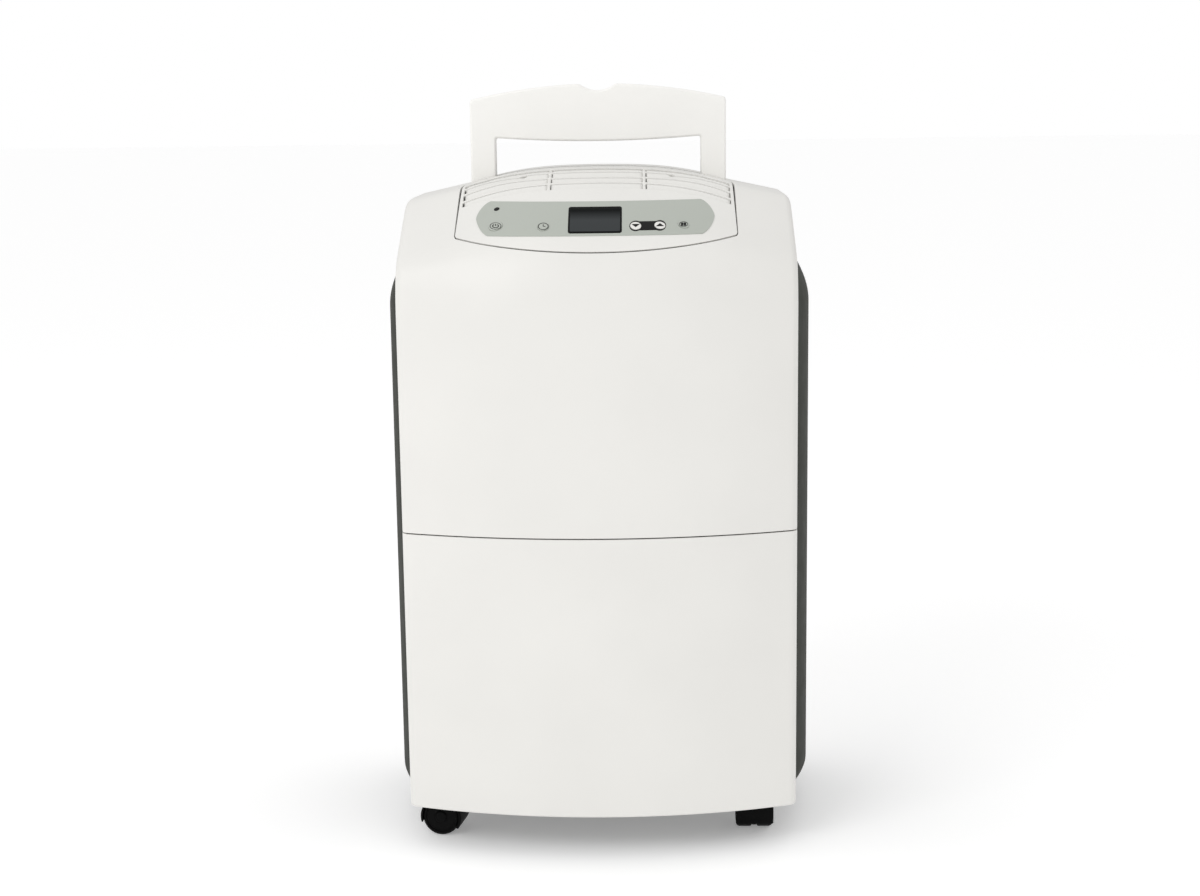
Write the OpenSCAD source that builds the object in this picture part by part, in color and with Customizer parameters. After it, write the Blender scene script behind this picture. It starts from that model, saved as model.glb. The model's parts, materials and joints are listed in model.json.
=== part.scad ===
// Portable dehumidifier: moulded cabinet on four casters, pull-up handle, pull-out bucket.
// +X is the viewer's right, the front faces -Y, +Z is up and the casters stand on Z = 0.

/* [Cabinet] */
// Width between the two white front corners
cabinet_w = 372; // [368:1:376]
// Depth from the front of the bulge to the intake grille
cabinet_d = 280; // [280:1:284]
// Height of the crest of the top
cabinet_h = 650; // [648:1:653]
// Height of the underside above the floor
ground_gap = 41; // [41:1:42]
// How far the middle of the front stands ahead of its corners
front_bulge = 32.5; // [31:0.5:34]
// Wall thickness of the mouldings
wall = 3; // [2.6:0.1:3.2]
// How far a grey side panel stands out from the white corner
side_bulge = 19; // [15:1:20]

/* [Front split] */
// Height of the seam between the upper cover and the bucket front
seam_z = 310; // [308:1:312]
// Width of that seam
seam_gap = 1.2; // [1:0.1:1.5]

/* [Handle] */
// How far the handle slides down to park
handle_travel = 82; // [78:1:82]
// Thickness of the handle plate
handle_t = 16; // [14:1:16]

/* [Bucket] */
// Width of the water bucket
bucket_w = 320; // [310:1:324]
// Depth of the water bucket
bucket_d = 116; // [110:1:116]
// Height of the water bucket
bucket_h = 242; // [230:1:242]

/* [Fan] */
// Radius of the blower wheel
fan_r = 72; // [66:1:74]
// Number of blades on the wheel
blade_count = 24; // [16:2:28]

/* [Casters] */
// Radius of a caster wheel
wheel_r = 18.5; // [17:0.5:18.5]
// Distance from the swivel axis back to the wheel axle
caster_trail = 9; // [7:0.5:9]

/* [Hidden] */
$fn = 48;

white = [0.93, 0.93, 0.90];
shade = [0.80, 0.81, 0.78];
olive = [0.30, 0.31, 0.28];
overlay_grey = [0.73, 0.75, 0.71];
black = [0.06, 0.06, 0.06];
steel = [0.62, 0.63, 0.65];
copper = [0.72, 0.42, 0.28];
board_green = [0.12, 0.36, 0.22];

// Outer form
half_w = cabinet_w / 2;
front_y = -cabinet_d / 2;
rear_y = 134;
bulge_r = (half_w * half_w + front_bulge * front_bulge) / (2 * front_bulge);
bulge_cy = front_y + bulge_r;
brow_r = 127;
brow_z = cabinet_h - 135;
brow_c = bulge_r - brow_r;
crown_r = 256;
crown_c = bulge_r - 180;
crown_z = cabinet_h - 2 - crown_r;
arch_r = 440;
shoulder_r = 419.4;
shoulder_tilt = 29.5;
shoulder_y = -98;
shoulder_z = cabinet_h - 44;

// Beyond the insert the top and the slope fall away at an even rate
wing_x = 131;
arch_wing = 0.22;
shoulder_wing = 0.28;

// Control panel insert
insert_w = 2 * wing_x;
insert_rear_y = 30;
smile_r = 715;
smile_z = 573;
fit_gap = 0.4;
rib_x = 45;
rib_t = 3;
bay_x = 127.5;

// Grille slots: slot_fan brings their ends closer together than their middles
slot_count = 4;
slot_y = -50;
slot_pitch = 16.5;
slot_bow = -4;
slot_fan = 5.5;
bar_w = 3.5;

// Control surface: each button presses along its own slope's normal
board_slope = 41;
board_y = -93.2;
board_z = 587.9;
switch_h = 4;
press_travel = 0.8;
button_z = 595;
led_at = [-92.6, 609.5];
window_x = [-25, 24.3];
window_z = [589.8, 612.1];

// Handle
handle_y = 56;
handle_w = 252;
handle_arm = 25;
handle_top = cabinet_h + 75;
handle_foot = 560;
handle_arch_r = 549;
grip_z = handle_top - 56;
grip_r = 1250;

// Bucket bay
bucket_y = -96;
rib_top = ground_gap + 14;
bucket_z = rib_top + 0.3;
bucket_wall = 2.5;
return_y = -76;
front_drop = 1.7;
pivot = [118, 4, 279];
pin_r = 2;
run_gap = 0.05;
deck_z = seam_z + 3;

// Refrigeration and fan
fan_z = 412;
shaft_r = 4;
coil_w = 230;
coil_z = [326, 496];
compressor_at = [-40, 79];
discharge_at = [-40, 85];
accumulator_at = [45, 108];
drier_at = [-108, 85];
drain_at = [150, 290];
drain_pipe_y = 108;
cord_at = [-120, 90];

// Casters: corner, swivel position and resting direction of the trail
caster_x = 148;
caster_front_y = -66;
caster_rear_y = 92;
stem_r = 4;
axle_r = 2.5;
web_t = 4;
tread_w = 15.4;

// Where the outer form's front or slope stands at (x, z), in front view
function shoulder_drop(x) =
    (shoulder_r - sqrt(shoulder_r * shoulder_r - x * x)) / cos(shoulder_tilt);
function sweep_r(z) = min(
    brow_c + sqrt(brow_r * brow_r - (z - brow_z) * (z - brow_z)),
    crown_c + sqrt(crown_r * crown_r - (z - crown_z) * (z - crown_z)));
function form_y(x, z) = max(
    shoulder_y + (z - shoulder_z + shoulder_drop(x)) / tan(shoulder_tilt),
    bulge_cy - sqrt(sweep_r(z) * sweep_r(z) - x * x));

// Puts a feature on the form at (x, z), turned to a slope and sunk by a depth
module on_form(x, z, slope, depth) {
    translate([x, form_y(x, z), z]) rotate([slope, 0, 0]) translate([0, 0, -depth]) children();
}

// Puts a feature on the control board's upper face
module on_board() {
    translate([0, board_y, board_z]) rotate([board_slope, 0, 0]) children();
}

// How far below (x, z) on the form the control board lies, along a slope's normal
function board_depth(x, z, slope) =
    ((board_y - form_y(x, z)) * sin(board_slope) + (z - board_z) * cos(board_slope))
    / cos(board_slope - slope);

// Extrudes a front-view drawing (x, z) along +Y between two depths
module from_front(y0, y1) {
    translate([0, y1, 0]) rotate([90, 0, 0]) linear_extrude(y1 - y0) children();
}

module rounded_square(size, r) {
    translate([r, 0]) square([size[0] - 2 * r, size[1]]);
    translate([0, r]) square([size[0], size[1] - 2 * r]);
    for (x = [r, size[0] - r], y = [r, size[1] - r]) translate([x, y]) circle(r);
}

// ---- outer form ----

// Side profile of the front and top, measured out from the bulge's own vertical axis
module side_profile(inset) {
    reach = bulge_r - inset;
    intersection() {
        translate([200, 20]) square([reach - 200, cabinet_h]);
        union() {
            translate([200, 20]) square([bulge_r - 200, brow_z - 20]);
            translate([200, 20]) square([brow_c + 30 - 200, cabinet_h]);
            translate([brow_c, brow_z]) circle(brow_r - inset);
        }
        union() {
            translate([200, 20]) square([bulge_r - 200, crown_z - 20]);
            translate([200, 20]) square([crown_c - 200, crown_z + crown_r - inset - 20]);
            translate([crown_c, crown_z]) circle(crown_r - inset);
        }
    }
}

module bulge_sweep(inset) {
    translate([0, bulge_cy, 0]) rotate([0, 0, -140])
        rotate_extrude(angle = 100) side_profile(inset);
}

// An arc whose crest is at the origin, with a straight wing on each side
module winged_arc(r, slope, inset) {
    wing_end = half_w + 20;
    deep = -800;
    root = sqrt(r * r - wing_x * wing_x) - r - inset;
    tip = root - slope * (wing_end - wing_x);
    translate([0, -r]) circle(r - inset);
    polygon([[-wing_end, deep], [-wing_end, tip], [-wing_x, root],
        [wing_x, root], [wing_end, tip], [wing_end, deep]]);
}

module arch_prism(inset) {
    from_front(front_y - 10, rear_y - inset) intersection() {
        translate([inset - half_w, 20]) square([cabinet_w - 2 * inset, cabinet_h]);
        translate([0, cabinet_h]) winged_arc(arch_r, arch_wing, inset);
    }
}

module shoulder_barrel(inset) {
    translate([0, shoulder_y, shoulder_z]) rotate([shoulder_tilt, 0, 0]) rotate([90, 0, 0])
        linear_extrude(1400, center = true) winged_arc(shoulder_r, shoulder_wing, inset);
}

// The whole outer form, or the same form a wall thickness further in
module form(inset) {
    $fn = 360;
    intersection() {
        bulge_sweep(inset);
        arch_prism(inset);
        shoulder_barrel(inset);
    }
}

module shell() {
    difference() {
        form(0);
        form(wall);
    }
}

module slab(y0, y1, z0, z1) {
    translate([-half_w - 20, y0, z0]) cube([cabinet_w + 40, y1 - y0, z1 - z0]);
}

// Everything inside the insert's outline, which is drawn in front view
module insert_space(gap) {
    from_front(front_y - 15, insert_rear_y + gap) intersection() {
        translate([-insert_w / 2 - gap, 500]) square([insert_w + 2 * gap, cabinet_h]);
        translate([0, smile_z + smile_r]) circle(smile_r + gap);
    }
}

// ---- cabinet ----

module base_pan() {
    color(olive) difference() {
        union() {
            translate([-176, -94, ground_gap]) cube([352, 221, 3]);
            for (x = [-176, 173]) translate([x, -94, ground_gap]) cube([3, 221, rib_top - ground_gap]);
            for (y = [-94, 24, 124]) translate([-176, y, ground_gap]) cube([352, 3, rib_top - ground_gap]);
            for (x = [-caster_x, caster_x], y = [caster_front_y, caster_rear_y])
                translate([x, y, ground_gap]) cylinder(r = 11, h = rib_top - ground_gap);
        }
        for (x = [-caster_x, caster_x], y = [caster_front_y, caster_rear_y])
            translate([x, y, 0]) cylinder(r = stem_r + run_gap, h = 90);
    }
}

module front_cover() {
    color(white) difference() {
        intersection() {
            shell();
            slab(front_y - 5, 19.7, seam_z + seam_gap / 2, cabinet_h + 5);
        }
        insert_space(fit_gap);
    }
}

module rear_cover() {
    color(white) difference() {
        union() {
            intersection() {
                shell();
                slab(20.3, rear_y + 5, ground_gap + 3, cabinet_h + 5);
            }
            translate([drain_at[0], rear_y - 16, drain_at[1]]) rotate([-90, 0, 0])
                cylinder(r = 20, h = 15);
        }
        insert_space(fit_gap);
        // handle slot
        translate([-handle_w / 2 - 1, handle_y - handle_t / 2 - 1, 560])
            cube([handle_w + 2, handle_t + 2, 120]);
        // air intake
        translate([-116, rear_y - 8, 360]) cube([232, 20, 190]);
        // hose pocket, open to the rear
        translate([drain_at[0], rear_y - 14, drain_at[1]]) rotate([-90, 0, 0]) cylinder(r = 18, h = 20);
        translate([drain_at[0], 100, drain_at[1]]) rotate([-90, 0, 0]) cylinder(r = 6, h = 40);
        // cord entry
        translate([cord_at[0], 100, cord_at[1]]) rotate([-90, 0, 0]) cylinder(r = 7, h = 50);
    }
}

// Flat walls at both sides of the bucket, behind the grey panels
module bay_cheeks() {
    color(white) for (x = [-half_w, half_w - wall])
        translate([x, return_y + 1.2, ground_gap + 3])
        cube([wall, 19.9 - return_y - 1.2, seam_z - ground_gap - 5]);
}

// Grey bow-sided panel; side is 1 on the right and -1 on the left
module side_panel(side) {
    reach = 115;
    plan_r = (reach * reach + side_bulge * side_bulge) / (2 * side_bulge);
    mid_y = 15;
    $fn = 360;
    color(olive) mirror([side < 0 ? 1 : 0, 0, 0]) intersection() {
        translate([half_w + side_bulge - plan_r, mid_y, 40]) cylinder(r = plan_r, h = 540);
        from_front(mid_y - reach - 5, mid_y + reach + 5) union() {
            translate([half_w + 0.3, 45]) square([2, 520]);
            translate([half_w + 0.3, 45]) rounded_square([side_bulge + 2, 512], 8);
        }
        translate([half_w + 0.3, return_y + 1.5, 40]) cube([40, 205, 540]);
    }
}

module side_panel_left() {
    side_panel(-1);
}

module side_panel_right() {
    side_panel(1);
}

// ---- control panel ----

// Front edge of the k-th slot; the rear edge lies a bar's width ahead of the next one
function slot_edge(k, x) = slot_y + k * slot_pitch - (slot_bow + k * slot_fan) * pow(x / bay_x, 2);

module grille_slots() {
    steps = 24;
    xs = [for (i = [0:steps]) (2 * i / steps - 1) * bay_x];
    depth = slot_count * slot_pitch + 20;
    translate([0, 0, 570]) linear_extrude(100) difference() {
        for (k = [0:slot_count - 1]) polygon([
            for (x = xs) [x, slot_edge(k, x)],
            for (i = [steps:-1:0]) [xs[i], slot_edge(k + 1, xs[i]) - bar_w]
        ]);
        for (x = [-rib_x, rib_x]) translate([x - rib_t / 2, slot_y - 10]) square([rib_t, depth]);
    }
}

module top_panel() {
    color(white) difference() {
        intersection() {
            shell();
            insert_space(0);
        }
        grille_slots();
        control_holes(0.6);
        window_hole(-1);
    }
}

// [x, radius, slope] of the five buttons
BUTTONS = [[-92, 6.5, 33], [-47.6, 5.3, 42], [36.9, 5, 44], [59, 5, 42], [80.6, 5.1, 36]];
led_slope = 32;

module control_holes(gap) {
    for (b = BUTTONS) on_form(b[0], button_z, b[2], 8) cylinder(r = b[1] + gap, h = 16);
    on_form(led_at[0], led_at[1], led_slope, 8) cylinder(r = 2 + gap, h = 16);
}

module window_hole(gap) {
    from_front(front_y, -60) translate([window_x[0] - gap, window_z[0] - gap])
        square([window_x[1] - window_x[0] + 2 * gap, window_z[1] - window_z[0] + 2 * gap]);
}

// A skin of the outer form between two heights above it
module skin(low, high) {
    difference() {
        form(-high);
        form(-low);
    }
}

module panel_overlay() {
    color(overlay_grey) difference() {
        intersection() {
            skin(0.05, 0.65);
            from_front(front_y - 10, -40) translate([-109.5, 587.6]) union() {
                rounded_square([219, 29], 13);
            }
        }
        control_holes(0.3);
        window_hole(0.3);
    }
}

module display_window() {
    color(black) intersection() {
        skin(0.05, 0.9);
        window_hole(0);
    }
}

module arrow_band() {
    color(black) difference() {
        intersection() {
            skin(0.7, 0.9);
            from_front(front_y - 10, -60) {
                for (i = [2, 3]) translate([BUTTONS[i][0], button_z]) circle(6);
                translate([BUTTONS[2][0], button_z - 3.4])
                    square([BUTTONS[3][0] - BUTTONS[2][0], 6.8]);
            }
        }
        control_holes(0.3);
    }
}

module lcd_module() {
    color(shade) on_board() translate([-30, -15, 5]) cube([60, 36, 4]);
}

module control_board() {
    color(board_green) {
        on_board() translate([-98, -20, -1.6]) cube([196, 32, 1.6]);
        for (b = BUTTONS) on_form(b[0], button_z, b[2], board_depth(b[0], button_z, b[2]))
            rotate([board_slope - b[2], 0, 0]) translate([-3, -3, 0]) cube([6, 6, switch_h]);
        on_form(led_at[0], led_at[1], led_slope, 11.7) translate([-6, -5, 0]) cube([12, 10, 1.6]);
    }
}

module status_led() {
    color("green") intersection() {
        on_form(led_at[0], led_at[1], led_slope, 10.05) cylinder(r = 2, h = 20);
        form(-0.8);
    }
}

// A button cap and its stem, which stops short of the switch by a little over its travel
module button(i) {
    b = BUTTONS[i];
    difference() {
        intersection() {
            on_form(b[0], button_z, b[2], 20) cylinder(r = b[1], h = 40);
            form(-1.3);
        }
        on_board() translate([-150, -60, switch_h + press_travel + 0.4 - 60]) cube([300, 120, 60]);
    }
}

module button_power() {
    color(overlay_grey) button(0);
}

module button_timer() {
    color(overlay_grey) button(1);
}

module button_down() {
    color(white) button(2);
}

module button_up() {
    color(white) button(3);
}

module button_fan() {
    color(overlay_grey) button(4);
}

// ---- handle ----

module handle_outline() {
    $fn = 720;
    difference() {
        intersection() {
            translate([-handle_w / 2, handle_foot]) square([handle_w, 200]);
            translate([0, handle_top - handle_arch_r]) circle(handle_arch_r);
        }
        difference() {
            translate([handle_arm - handle_w / 2, handle_foot - 1])
                square([handle_w - 2 * handle_arm, grip_z + 12 - handle_foot]);
            translate([0, grip_z + grip_r]) circle(grip_r);
        }
        translate([0, handle_top + 22.5]) circle(29);
    }
}

module handle() {
    color(white) {
        from_front(handle_y - handle_t / 2, handle_y + handle_t / 2) handle_outline();
        for (x = [-handle_w / 2 - 4, handle_w / 2 - 4])
            translate([x, handle_y - 5, handle_foot]) cube([8, 10, 8]);
    }
}

// A sleeve for each arm, with a groove for its lug and a tab that meets the cabinet's side
module handle_guides() {
    inner = handle_w / 2 - handle_arm - 0.5;
    outer = handle_w / 2 + 0.5;
    low = handle_foot - handle_travel - 8;
    color(shade) for (side = [0, 1]) mirror([side, 0, 0]) difference() {
        union() {
            translate([inner - 3, handle_y - 13, low]) cube([outer - inner + 12, 26, 112]);
            translate([outer, handle_y - 13, handle_foot]) cube([half_w - wall - outer - 0.1, 26, 6]);
        }
        translate([inner, handle_y - handle_t / 2 - 0.5, low - 10])
            cube([outer - inner, handle_t + 1, 160]);
        translate([outer - 1, handle_y - 5.5, low + 4]) cube([6, 11, handle_travel + 14]);
    }
}

// ---- bucket ----

module bucket() {
    color([0.86, 0.88, 0.87]) {
        difference() {
            translate([-bucket_w / 2, bucket_y, bucket_z])
                linear_extrude(bucket_h) rounded_square([bucket_w, bucket_d], 14);
            translate([bucket_wall - bucket_w / 2, bucket_y + bucket_wall, bucket_z + bucket_wall])
                linear_extrude(bucket_h)
                rounded_square([bucket_w - 2 * bucket_wall, bucket_d - 2 * bucket_wall], 11.5);
        }
        for (x = [pivot[0] - 13, pivot[0] + 10]) difference() {
            translate([x, pivot[1] - 5, pivot[2] - 5])
                cube([3, bucket_y + bucket_d - bucket_wall / 2 - pivot[1] + 5, 10]);
            translate([x - 1, pivot[1], pivot[2]]) rotate([0, 90, 0])
                cylinder(r = pin_r + run_gap, h = 5);
        }
    }
}

module bucket_front() {
    low = ground_gap - front_drop;
    top = seam_z - seam_gap / 2;
    color(white) {
        difference() {
            intersection() {
                form(0);
                slab(front_y - 5, return_y, low, top);
            }
            intersection() {
                form(wall);
                slab(front_y - 5, return_y + 5, low + wall, top - wall);
            }
            slab(bucket_y - 1.5, return_y + 5, low - 5, low + wall + 3);
        }
        intersection() {
            for (x = [-110, 110], z = [90, 270]) translate([x, bucket_y - 0.05, z])
                rotate([90, 0, 0]) cylinder(r = 6, h = 60);
            form(1);
        }
    }
}

module bucket_lid() {
    top = bucket_z + bucket_h;
    color(shade) difference() {
        translate([-bucket_w / 2, bucket_y, top + 0.05])
            linear_extrude(2.5) rounded_square([bucket_w, bucket_d], 14);
        translate([-130, bucket_y + 24, top - 1]) cube([220, 68, 5]);
    }
}

module float_arm() {
    color(shade) {
        translate([pivot[0] - 14, pivot[1], pivot[2]]) rotate([0, 90, 0])
            cylinder(r = pin_r, h = 28);
        translate([pivot[0] - 4, pivot[1] - 52, pivot[2] - 4]) cube([8, 56, 8]);
    }
}

module float_block() {
    color("khaki") translate([pivot[0] - 20, pivot[1] - 56, pivot[2] - 34.05])
        cube([40, 34, 30]);
}

module reed_switch() {
    color(black) translate([pivot[0] - 10, bucket_y + bucket_d + 1.6, pivot[2] - 5])
        cube([20, 2.3, 12]);
}

module bay_wall() {
    color(shade) translate([-177, 24, rib_top + 0.1]) cube([354, 3, deck_z - rib_top - 0.2]);
}

module mid_deck() {
    color(shade) difference() {
        union() {
            translate([-177, -92, deck_z]) cube([354, 219, 3]);
            for (y = [-92, 68, 124]) translate([-177, y, deck_z]) cube([354, 3, 11]);
            for (x = [-177, 174]) translate([x, -92, deck_z]) cube([3, 219, 11]);
            translate([0, 6, deck_z - 6]) cylinder(r = 9, h = 7);
        }
        translate([0, 6, deck_z - 8]) cylinder(r = 6, h = 14);
        for (at = [discharge_at, accumulator_at, drier_at])
            translate([at[0], at[1], deck_z - 1]) cylinder(r = 5, h = 6);
        translate([drain_at[0], drain_pipe_y, deck_z - 1]) cylinder(r = 3.5, h = 6);
    }
}

// ---- refrigeration ----

module compressor() {
    color(black) translate([compressor_at[0], compressor_at[1], 62]) {
        cylinder(r = 44, h = 150);
        translate([0, 0, 150]) intersection() {
            translate([0, 0, -40]) sphere(r = 59.46, $fn = 72);
            cylinder(r = 44, h = 40);
        }
        linear_extrude(3) for (a = [0:120:240]) rotate(a)
            translate([0, -13]) square([50, 26]);
        translate([0, discharge_at[1] - compressor_at[1], 160]) cylinder(r = 4, h = 22);
    }
}

module compressor_feet() {
    color("dimgray") for (a = [0:120:240])
        translate([compressor_at[0], compressor_at[1], 0]) rotate(a)
        translate([40, 0, ground_gap + 3.05]) cylinder(r = 8, h = 17.9);
}

module accumulator() {
    color(black) translate([accumulator_at[0], accumulator_at[1], 90]) {
        cylinder(r = 17, h = 120);
        translate([0, 0, 120]) cylinder(r1 = 17, r2 = 6, h = 14);
    }
}

// A coil block: a comb of fins along X with tube bends at both ends
module coil(y, depth, tube_color) {
    fin_pitch = 10;
    fins = floor(coil_w / fin_pitch);
    color(steel) translate([-coil_w / 2, y, coil_z[0]]) {
        for (i = [0:fins - 1]) translate([i * fin_pitch, 0, 0])
            cube([2, depth, coil_z[1] - coil_z[0]]);
        translate([0, depth / 2 - 2, 0]) cube([coil_w - 4, 4, coil_z[1] - coil_z[0]]);
    }
    color(tube_color) for (side = [-1, 1], i = [0:4])
        translate([side * (coil_w / 2 - 3), y + depth / 2, coil_z[0] + 25 + i * 30])
        rotate([0, 0, side < 0 ? 180 : 0]) rotate([90, 0, 0]) rotate([0, 0, -90])
        rotate_extrude(angle = 180) translate([10, 0]) circle(4);
}

module evaporator() {
    coil(101, 20, copper);
}

module condenser() {
    coil(75, 20, copper);
}

// Copper lines: hot gas up to the condenser, suction down from the evaporator and across
module refrigerant_pipes() {
    under_coil = coil_z[0] - 0.05;
    color(copper) {
        translate([discharge_at[0], discharge_at[1], 244.05]) cylinder(r = 3.5, h = under_coil - 244.05);
        translate([accumulator_at[0], accumulator_at[1], 224.05])
            cylinder(r = 4, h = under_coil - 224.05);
        translate([drier_at[0], drier_at[1], 199.95]) cylinder(r = 3, h = under_coil - 199.95);
        translate([compressor_at[0] + 40, 95, 110]) rotate([0, 90, 0])
            cylinder(r = 4, h = accumulator_at[0] - compressor_at[0] - 50);
    }
}

module filter_drier() {
    color(copper) translate([drier_at[0], drier_at[1], 130]) {
        cylinder(r = 9, h = 60);
        translate([0, 0, 60]) cylinder(r1 = 9, r2 = 3.5, h = 9.9);
    }
}

// ---- fan ----

module scroll_outline(inset) {
    translate([0, fan_z]) circle(94 - inset, $fn = 96);
    translate([inset - 94, fan_z]) square([188 - 2 * inset, 570 - fan_z + (inset > 0 ? 5 : 0)]);
}

module fan_scroll() {
    color(shade) difference() {
        from_front(-34, 41) scroll_outline(0);
        from_front(-31, 38) scroll_outline(3);
        translate([0, 36, fan_z]) rotate([-90, 0, 0]) cylinder(r = 58, h = 10);
        translate([0, -40, fan_z]) rotate([-90, 0, 0]) cylinder(r = 10, h = 10);
    }
}

module fan_wheel() {
    color("dimgray") translate([0, 30, fan_z]) rotate([90, 0, 0]) {
        translate([0, 0, 50]) difference() {
            union() {
                cylinder(r = fan_r, h = 3);
                translate([0, 0, -14]) cylinder(r = 12, h = 15);
            }
            translate([0, 0, -20]) cylinder(r = shaft_r + 0.02, h = 40);
        }
        difference() {
            cylinder(r = fan_r, h = 3);
            translate([0, 0, -1]) cylinder(r = fan_r - 14, h = 5);
        }
        for (i = [0:blade_count - 1]) rotate(i * 360 / blade_count)
            translate([fan_r - 12, 0, 2.5]) rotate(35) cube([12, 1.4, 48]);
    }
}

module fan_shaft() {
    color(steel) translate([0, 0, fan_z]) rotate([90, 0, 0])
        translate([0, 0, -2]) cylinder(r = shaft_r, h = 62);
}

module fan_motor() {
    color(steel) difference() {
        union() {
            translate([0, -41, fan_z]) rotate([90, 0, 0]) cylinder(r = 38, h = 44);
            translate([0, -35, fan_z]) rotate([90, 0, 0]) cylinder(r = 14, h = 7);
        }
        translate([0, -34, fan_z]) rotate([90, 0, 0]) cylinder(r = shaft_r + run_gap, h = 28);
    }
}

module motor_bracket() {
    color(steel) difference() {
        union() {
            translate([-80, -38, fan_z - 50]) cube([160, 3, 100]);
            for (x = [-80, 77]) translate([x, -38, deck_z + 3.1]) cube([3, 3, fan_z - deck_z - 50]);
        }
        translate([0, -30, fan_z]) rotate([90, 0, 0]) cylinder(r = 14.1, h = 20);
    }
}

module run_capacitor() {
    color("gainsboro") translate([140, -70, deck_z + 3.1]) cylinder(r = 16, h = 60);
}

module main_board() {
    color(board_green) {
        translate([104, -52, deck_z + 12]) cube([66, 1.6, 110]);
        for (z = [350, 385, 415]) translate([115, -50.5, z]) cube([24, 14, 18]);
        for (x = [106, 164]) translate([x, -53, deck_z + 3.1]) cube([4, 4, 10]);
    }
}

module humidity_sensor() {
    color(white) translate([-155, 121, 420]) cube([20, 9.9, 14]);
}

// ---- rear ----

module intake_grille() {
    color(white) difference() {
        translate([-128, rear_y + 0.3, 348]) cube([256, -front_y - rear_y - 0.3, 214]);
        for (i = [0:15]) translate([-112, rear_y - 1, 362 + i * 12])
            cube([224, 10, 7]);
    }
}

module filter_mesh() {
    color("dimgray") difference() {
        translate([-115.5, rear_y - 7.5, 360.5]) cube([231, 7.5, 189]);
        for (x = [-108, -52, 4, 60], z = [368, 429, 490]) translate([x, rear_y - 9, z])
            cube([48, 6, 52]);
    }
}

// Hose spigot in its pocket, with the elbow that comes down from the deck
module drain_spigot() {
    color(black) difference() {
        union() {
            translate([drain_at[0], 100, drain_at[1]]) rotate([-90, 0, 0]) cylinder(r = 5.9, h = 22);
            translate([drain_at[0], drain_pipe_y, drain_at[1]])
                cylinder(r = 5, h = deck_z - 0.1 - drain_at[1]);
            translate([drain_at[0], rear_y - 13.9, drain_at[1]]) rotate([-90, 0, 0])
                cylinder(r = 11, h = 3);
            translate([drain_at[0], rear_y - 11, drain_at[1]]) rotate([-90, 0, 0])
                cylinder(r = 8, h = 16);
        }
        translate([drain_at[0], 103, drain_at[1]]) rotate([-90, 0, 0]) cylinder(r = 4, h = 40);
        translate([drain_at[0], drain_pipe_y, drain_at[1]]) cylinder(r = 3.5, h = 40);
    }
}

module cord_gland() {
    color(black) translate([cord_at[0], 0, cord_at[1]]) rotate([-90, 0, 0]) difference() {
        union() {
            translate([0, 0, rear_y - 9]) cylinder(r = 6.9, h = 12);
            translate([0, 0, rear_y + 0.1]) cylinder(r = 10, h = 3);
        }
        translate([0, 0, 100]) cylinder(r = 4, h = 60);
    }
}

module cabinet_screws() {
    color(steel) for (x = [-165, 165], z = [70, 210, 390, 590])
        translate([x, rear_y + 0.05, z]) rotate([-90, 0, 0]) cylinder(r = 4, h = 2.4);
}

// ---- casters ----

// Puts a caster at its swivel axis, with its trail turned from +X
module caster_place(name) {
    x = name[1] == "l" ? -caster_x : caster_x;
    y = name[0] == "f" ? caster_front_y : caster_rear_y;
    turn = name == "fl" ? 170 : name == "fr" ? 90 : name == "rl" ? 105 : 75;
    translate([x, y, 0]) rotate(turn) children();
}

module caster_fork(name) {
    hood_r = wheel_r + 2;
    side = web_t / 2 + tread_w + 1;
    color(black) caster_place(name) {
        difference() {
            union() {
                caster_hood(hood_r, side);
                translate([caster_trail, web_t / 2, wheel_r]) rotate([90, 0, 0])
                    cylinder(r = wheel_r - 1.3, h = web_t);
            }
            translate([caster_trail, web_t, wheel_r]) rotate([90, 0, 0])
                cylinder(r = axle_r + run_gap, h = 2 * web_t);
        }
        translate([0, 0, 2 * wheel_r + 2])
            cylinder(r = stem_r, h = ground_gap + 11 - 2 * wheel_r);
    }
}

// Hood over both wheels, whose lip hangs lower ahead of the wheels than behind them
module caster_hood(hood_r, side) {
    difference() {
        union() {
            translate([caster_trail, side, wheel_r]) rotate([90, 0, 0])
                cylinder(r = hood_r, h = 2 * side);
            translate([0, 0, wheel_r + 6]) cylinder(r = 12, h = ground_gap - wheel_r - 7);
        }
        translate([-60, -60, -20]) cube([60 + caster_trail, 120, wheel_r + 9]);
        translate([caster_trail - 1, -60, -20]) cube([60, 120, wheel_r + 14]);
        for (s = [0, 1]) mirror([0, s, 0])
            translate([caster_trail, side + 1, wheel_r]) rotate([90, 0, 0])
            cylinder(r = wheel_r + 0.6, h = side + 1 - web_t / 2);
    }
}

module caster_axle(name) {
    color(steel) caster_place(name)
        translate([caster_trail, web_t / 2 + tread_w - 2, wheel_r]) rotate([90, 0, 0])
        cylinder(r = axle_r, h = web_t + 2 * tread_w - 4);
}

module caster_wheels(name) {
    color(black) caster_place(name) for (s = [0, 1]) mirror([0, s, 0])
        translate([caster_trail, web_t / 2 + tread_w + 0.4, wheel_r]) rotate([90, 0, 0])
        difference() {
            cylinder(r = wheel_r, h = tread_w);
            translate([0, 0, 2.4]) cylinder(r = axle_r, h = tread_w);
            translate([0, 0, -1]) difference() {
                cylinder(r = wheel_r - 4, h = 3);
                cylinder(r = 5, h = 3);
            }
        }
}

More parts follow.
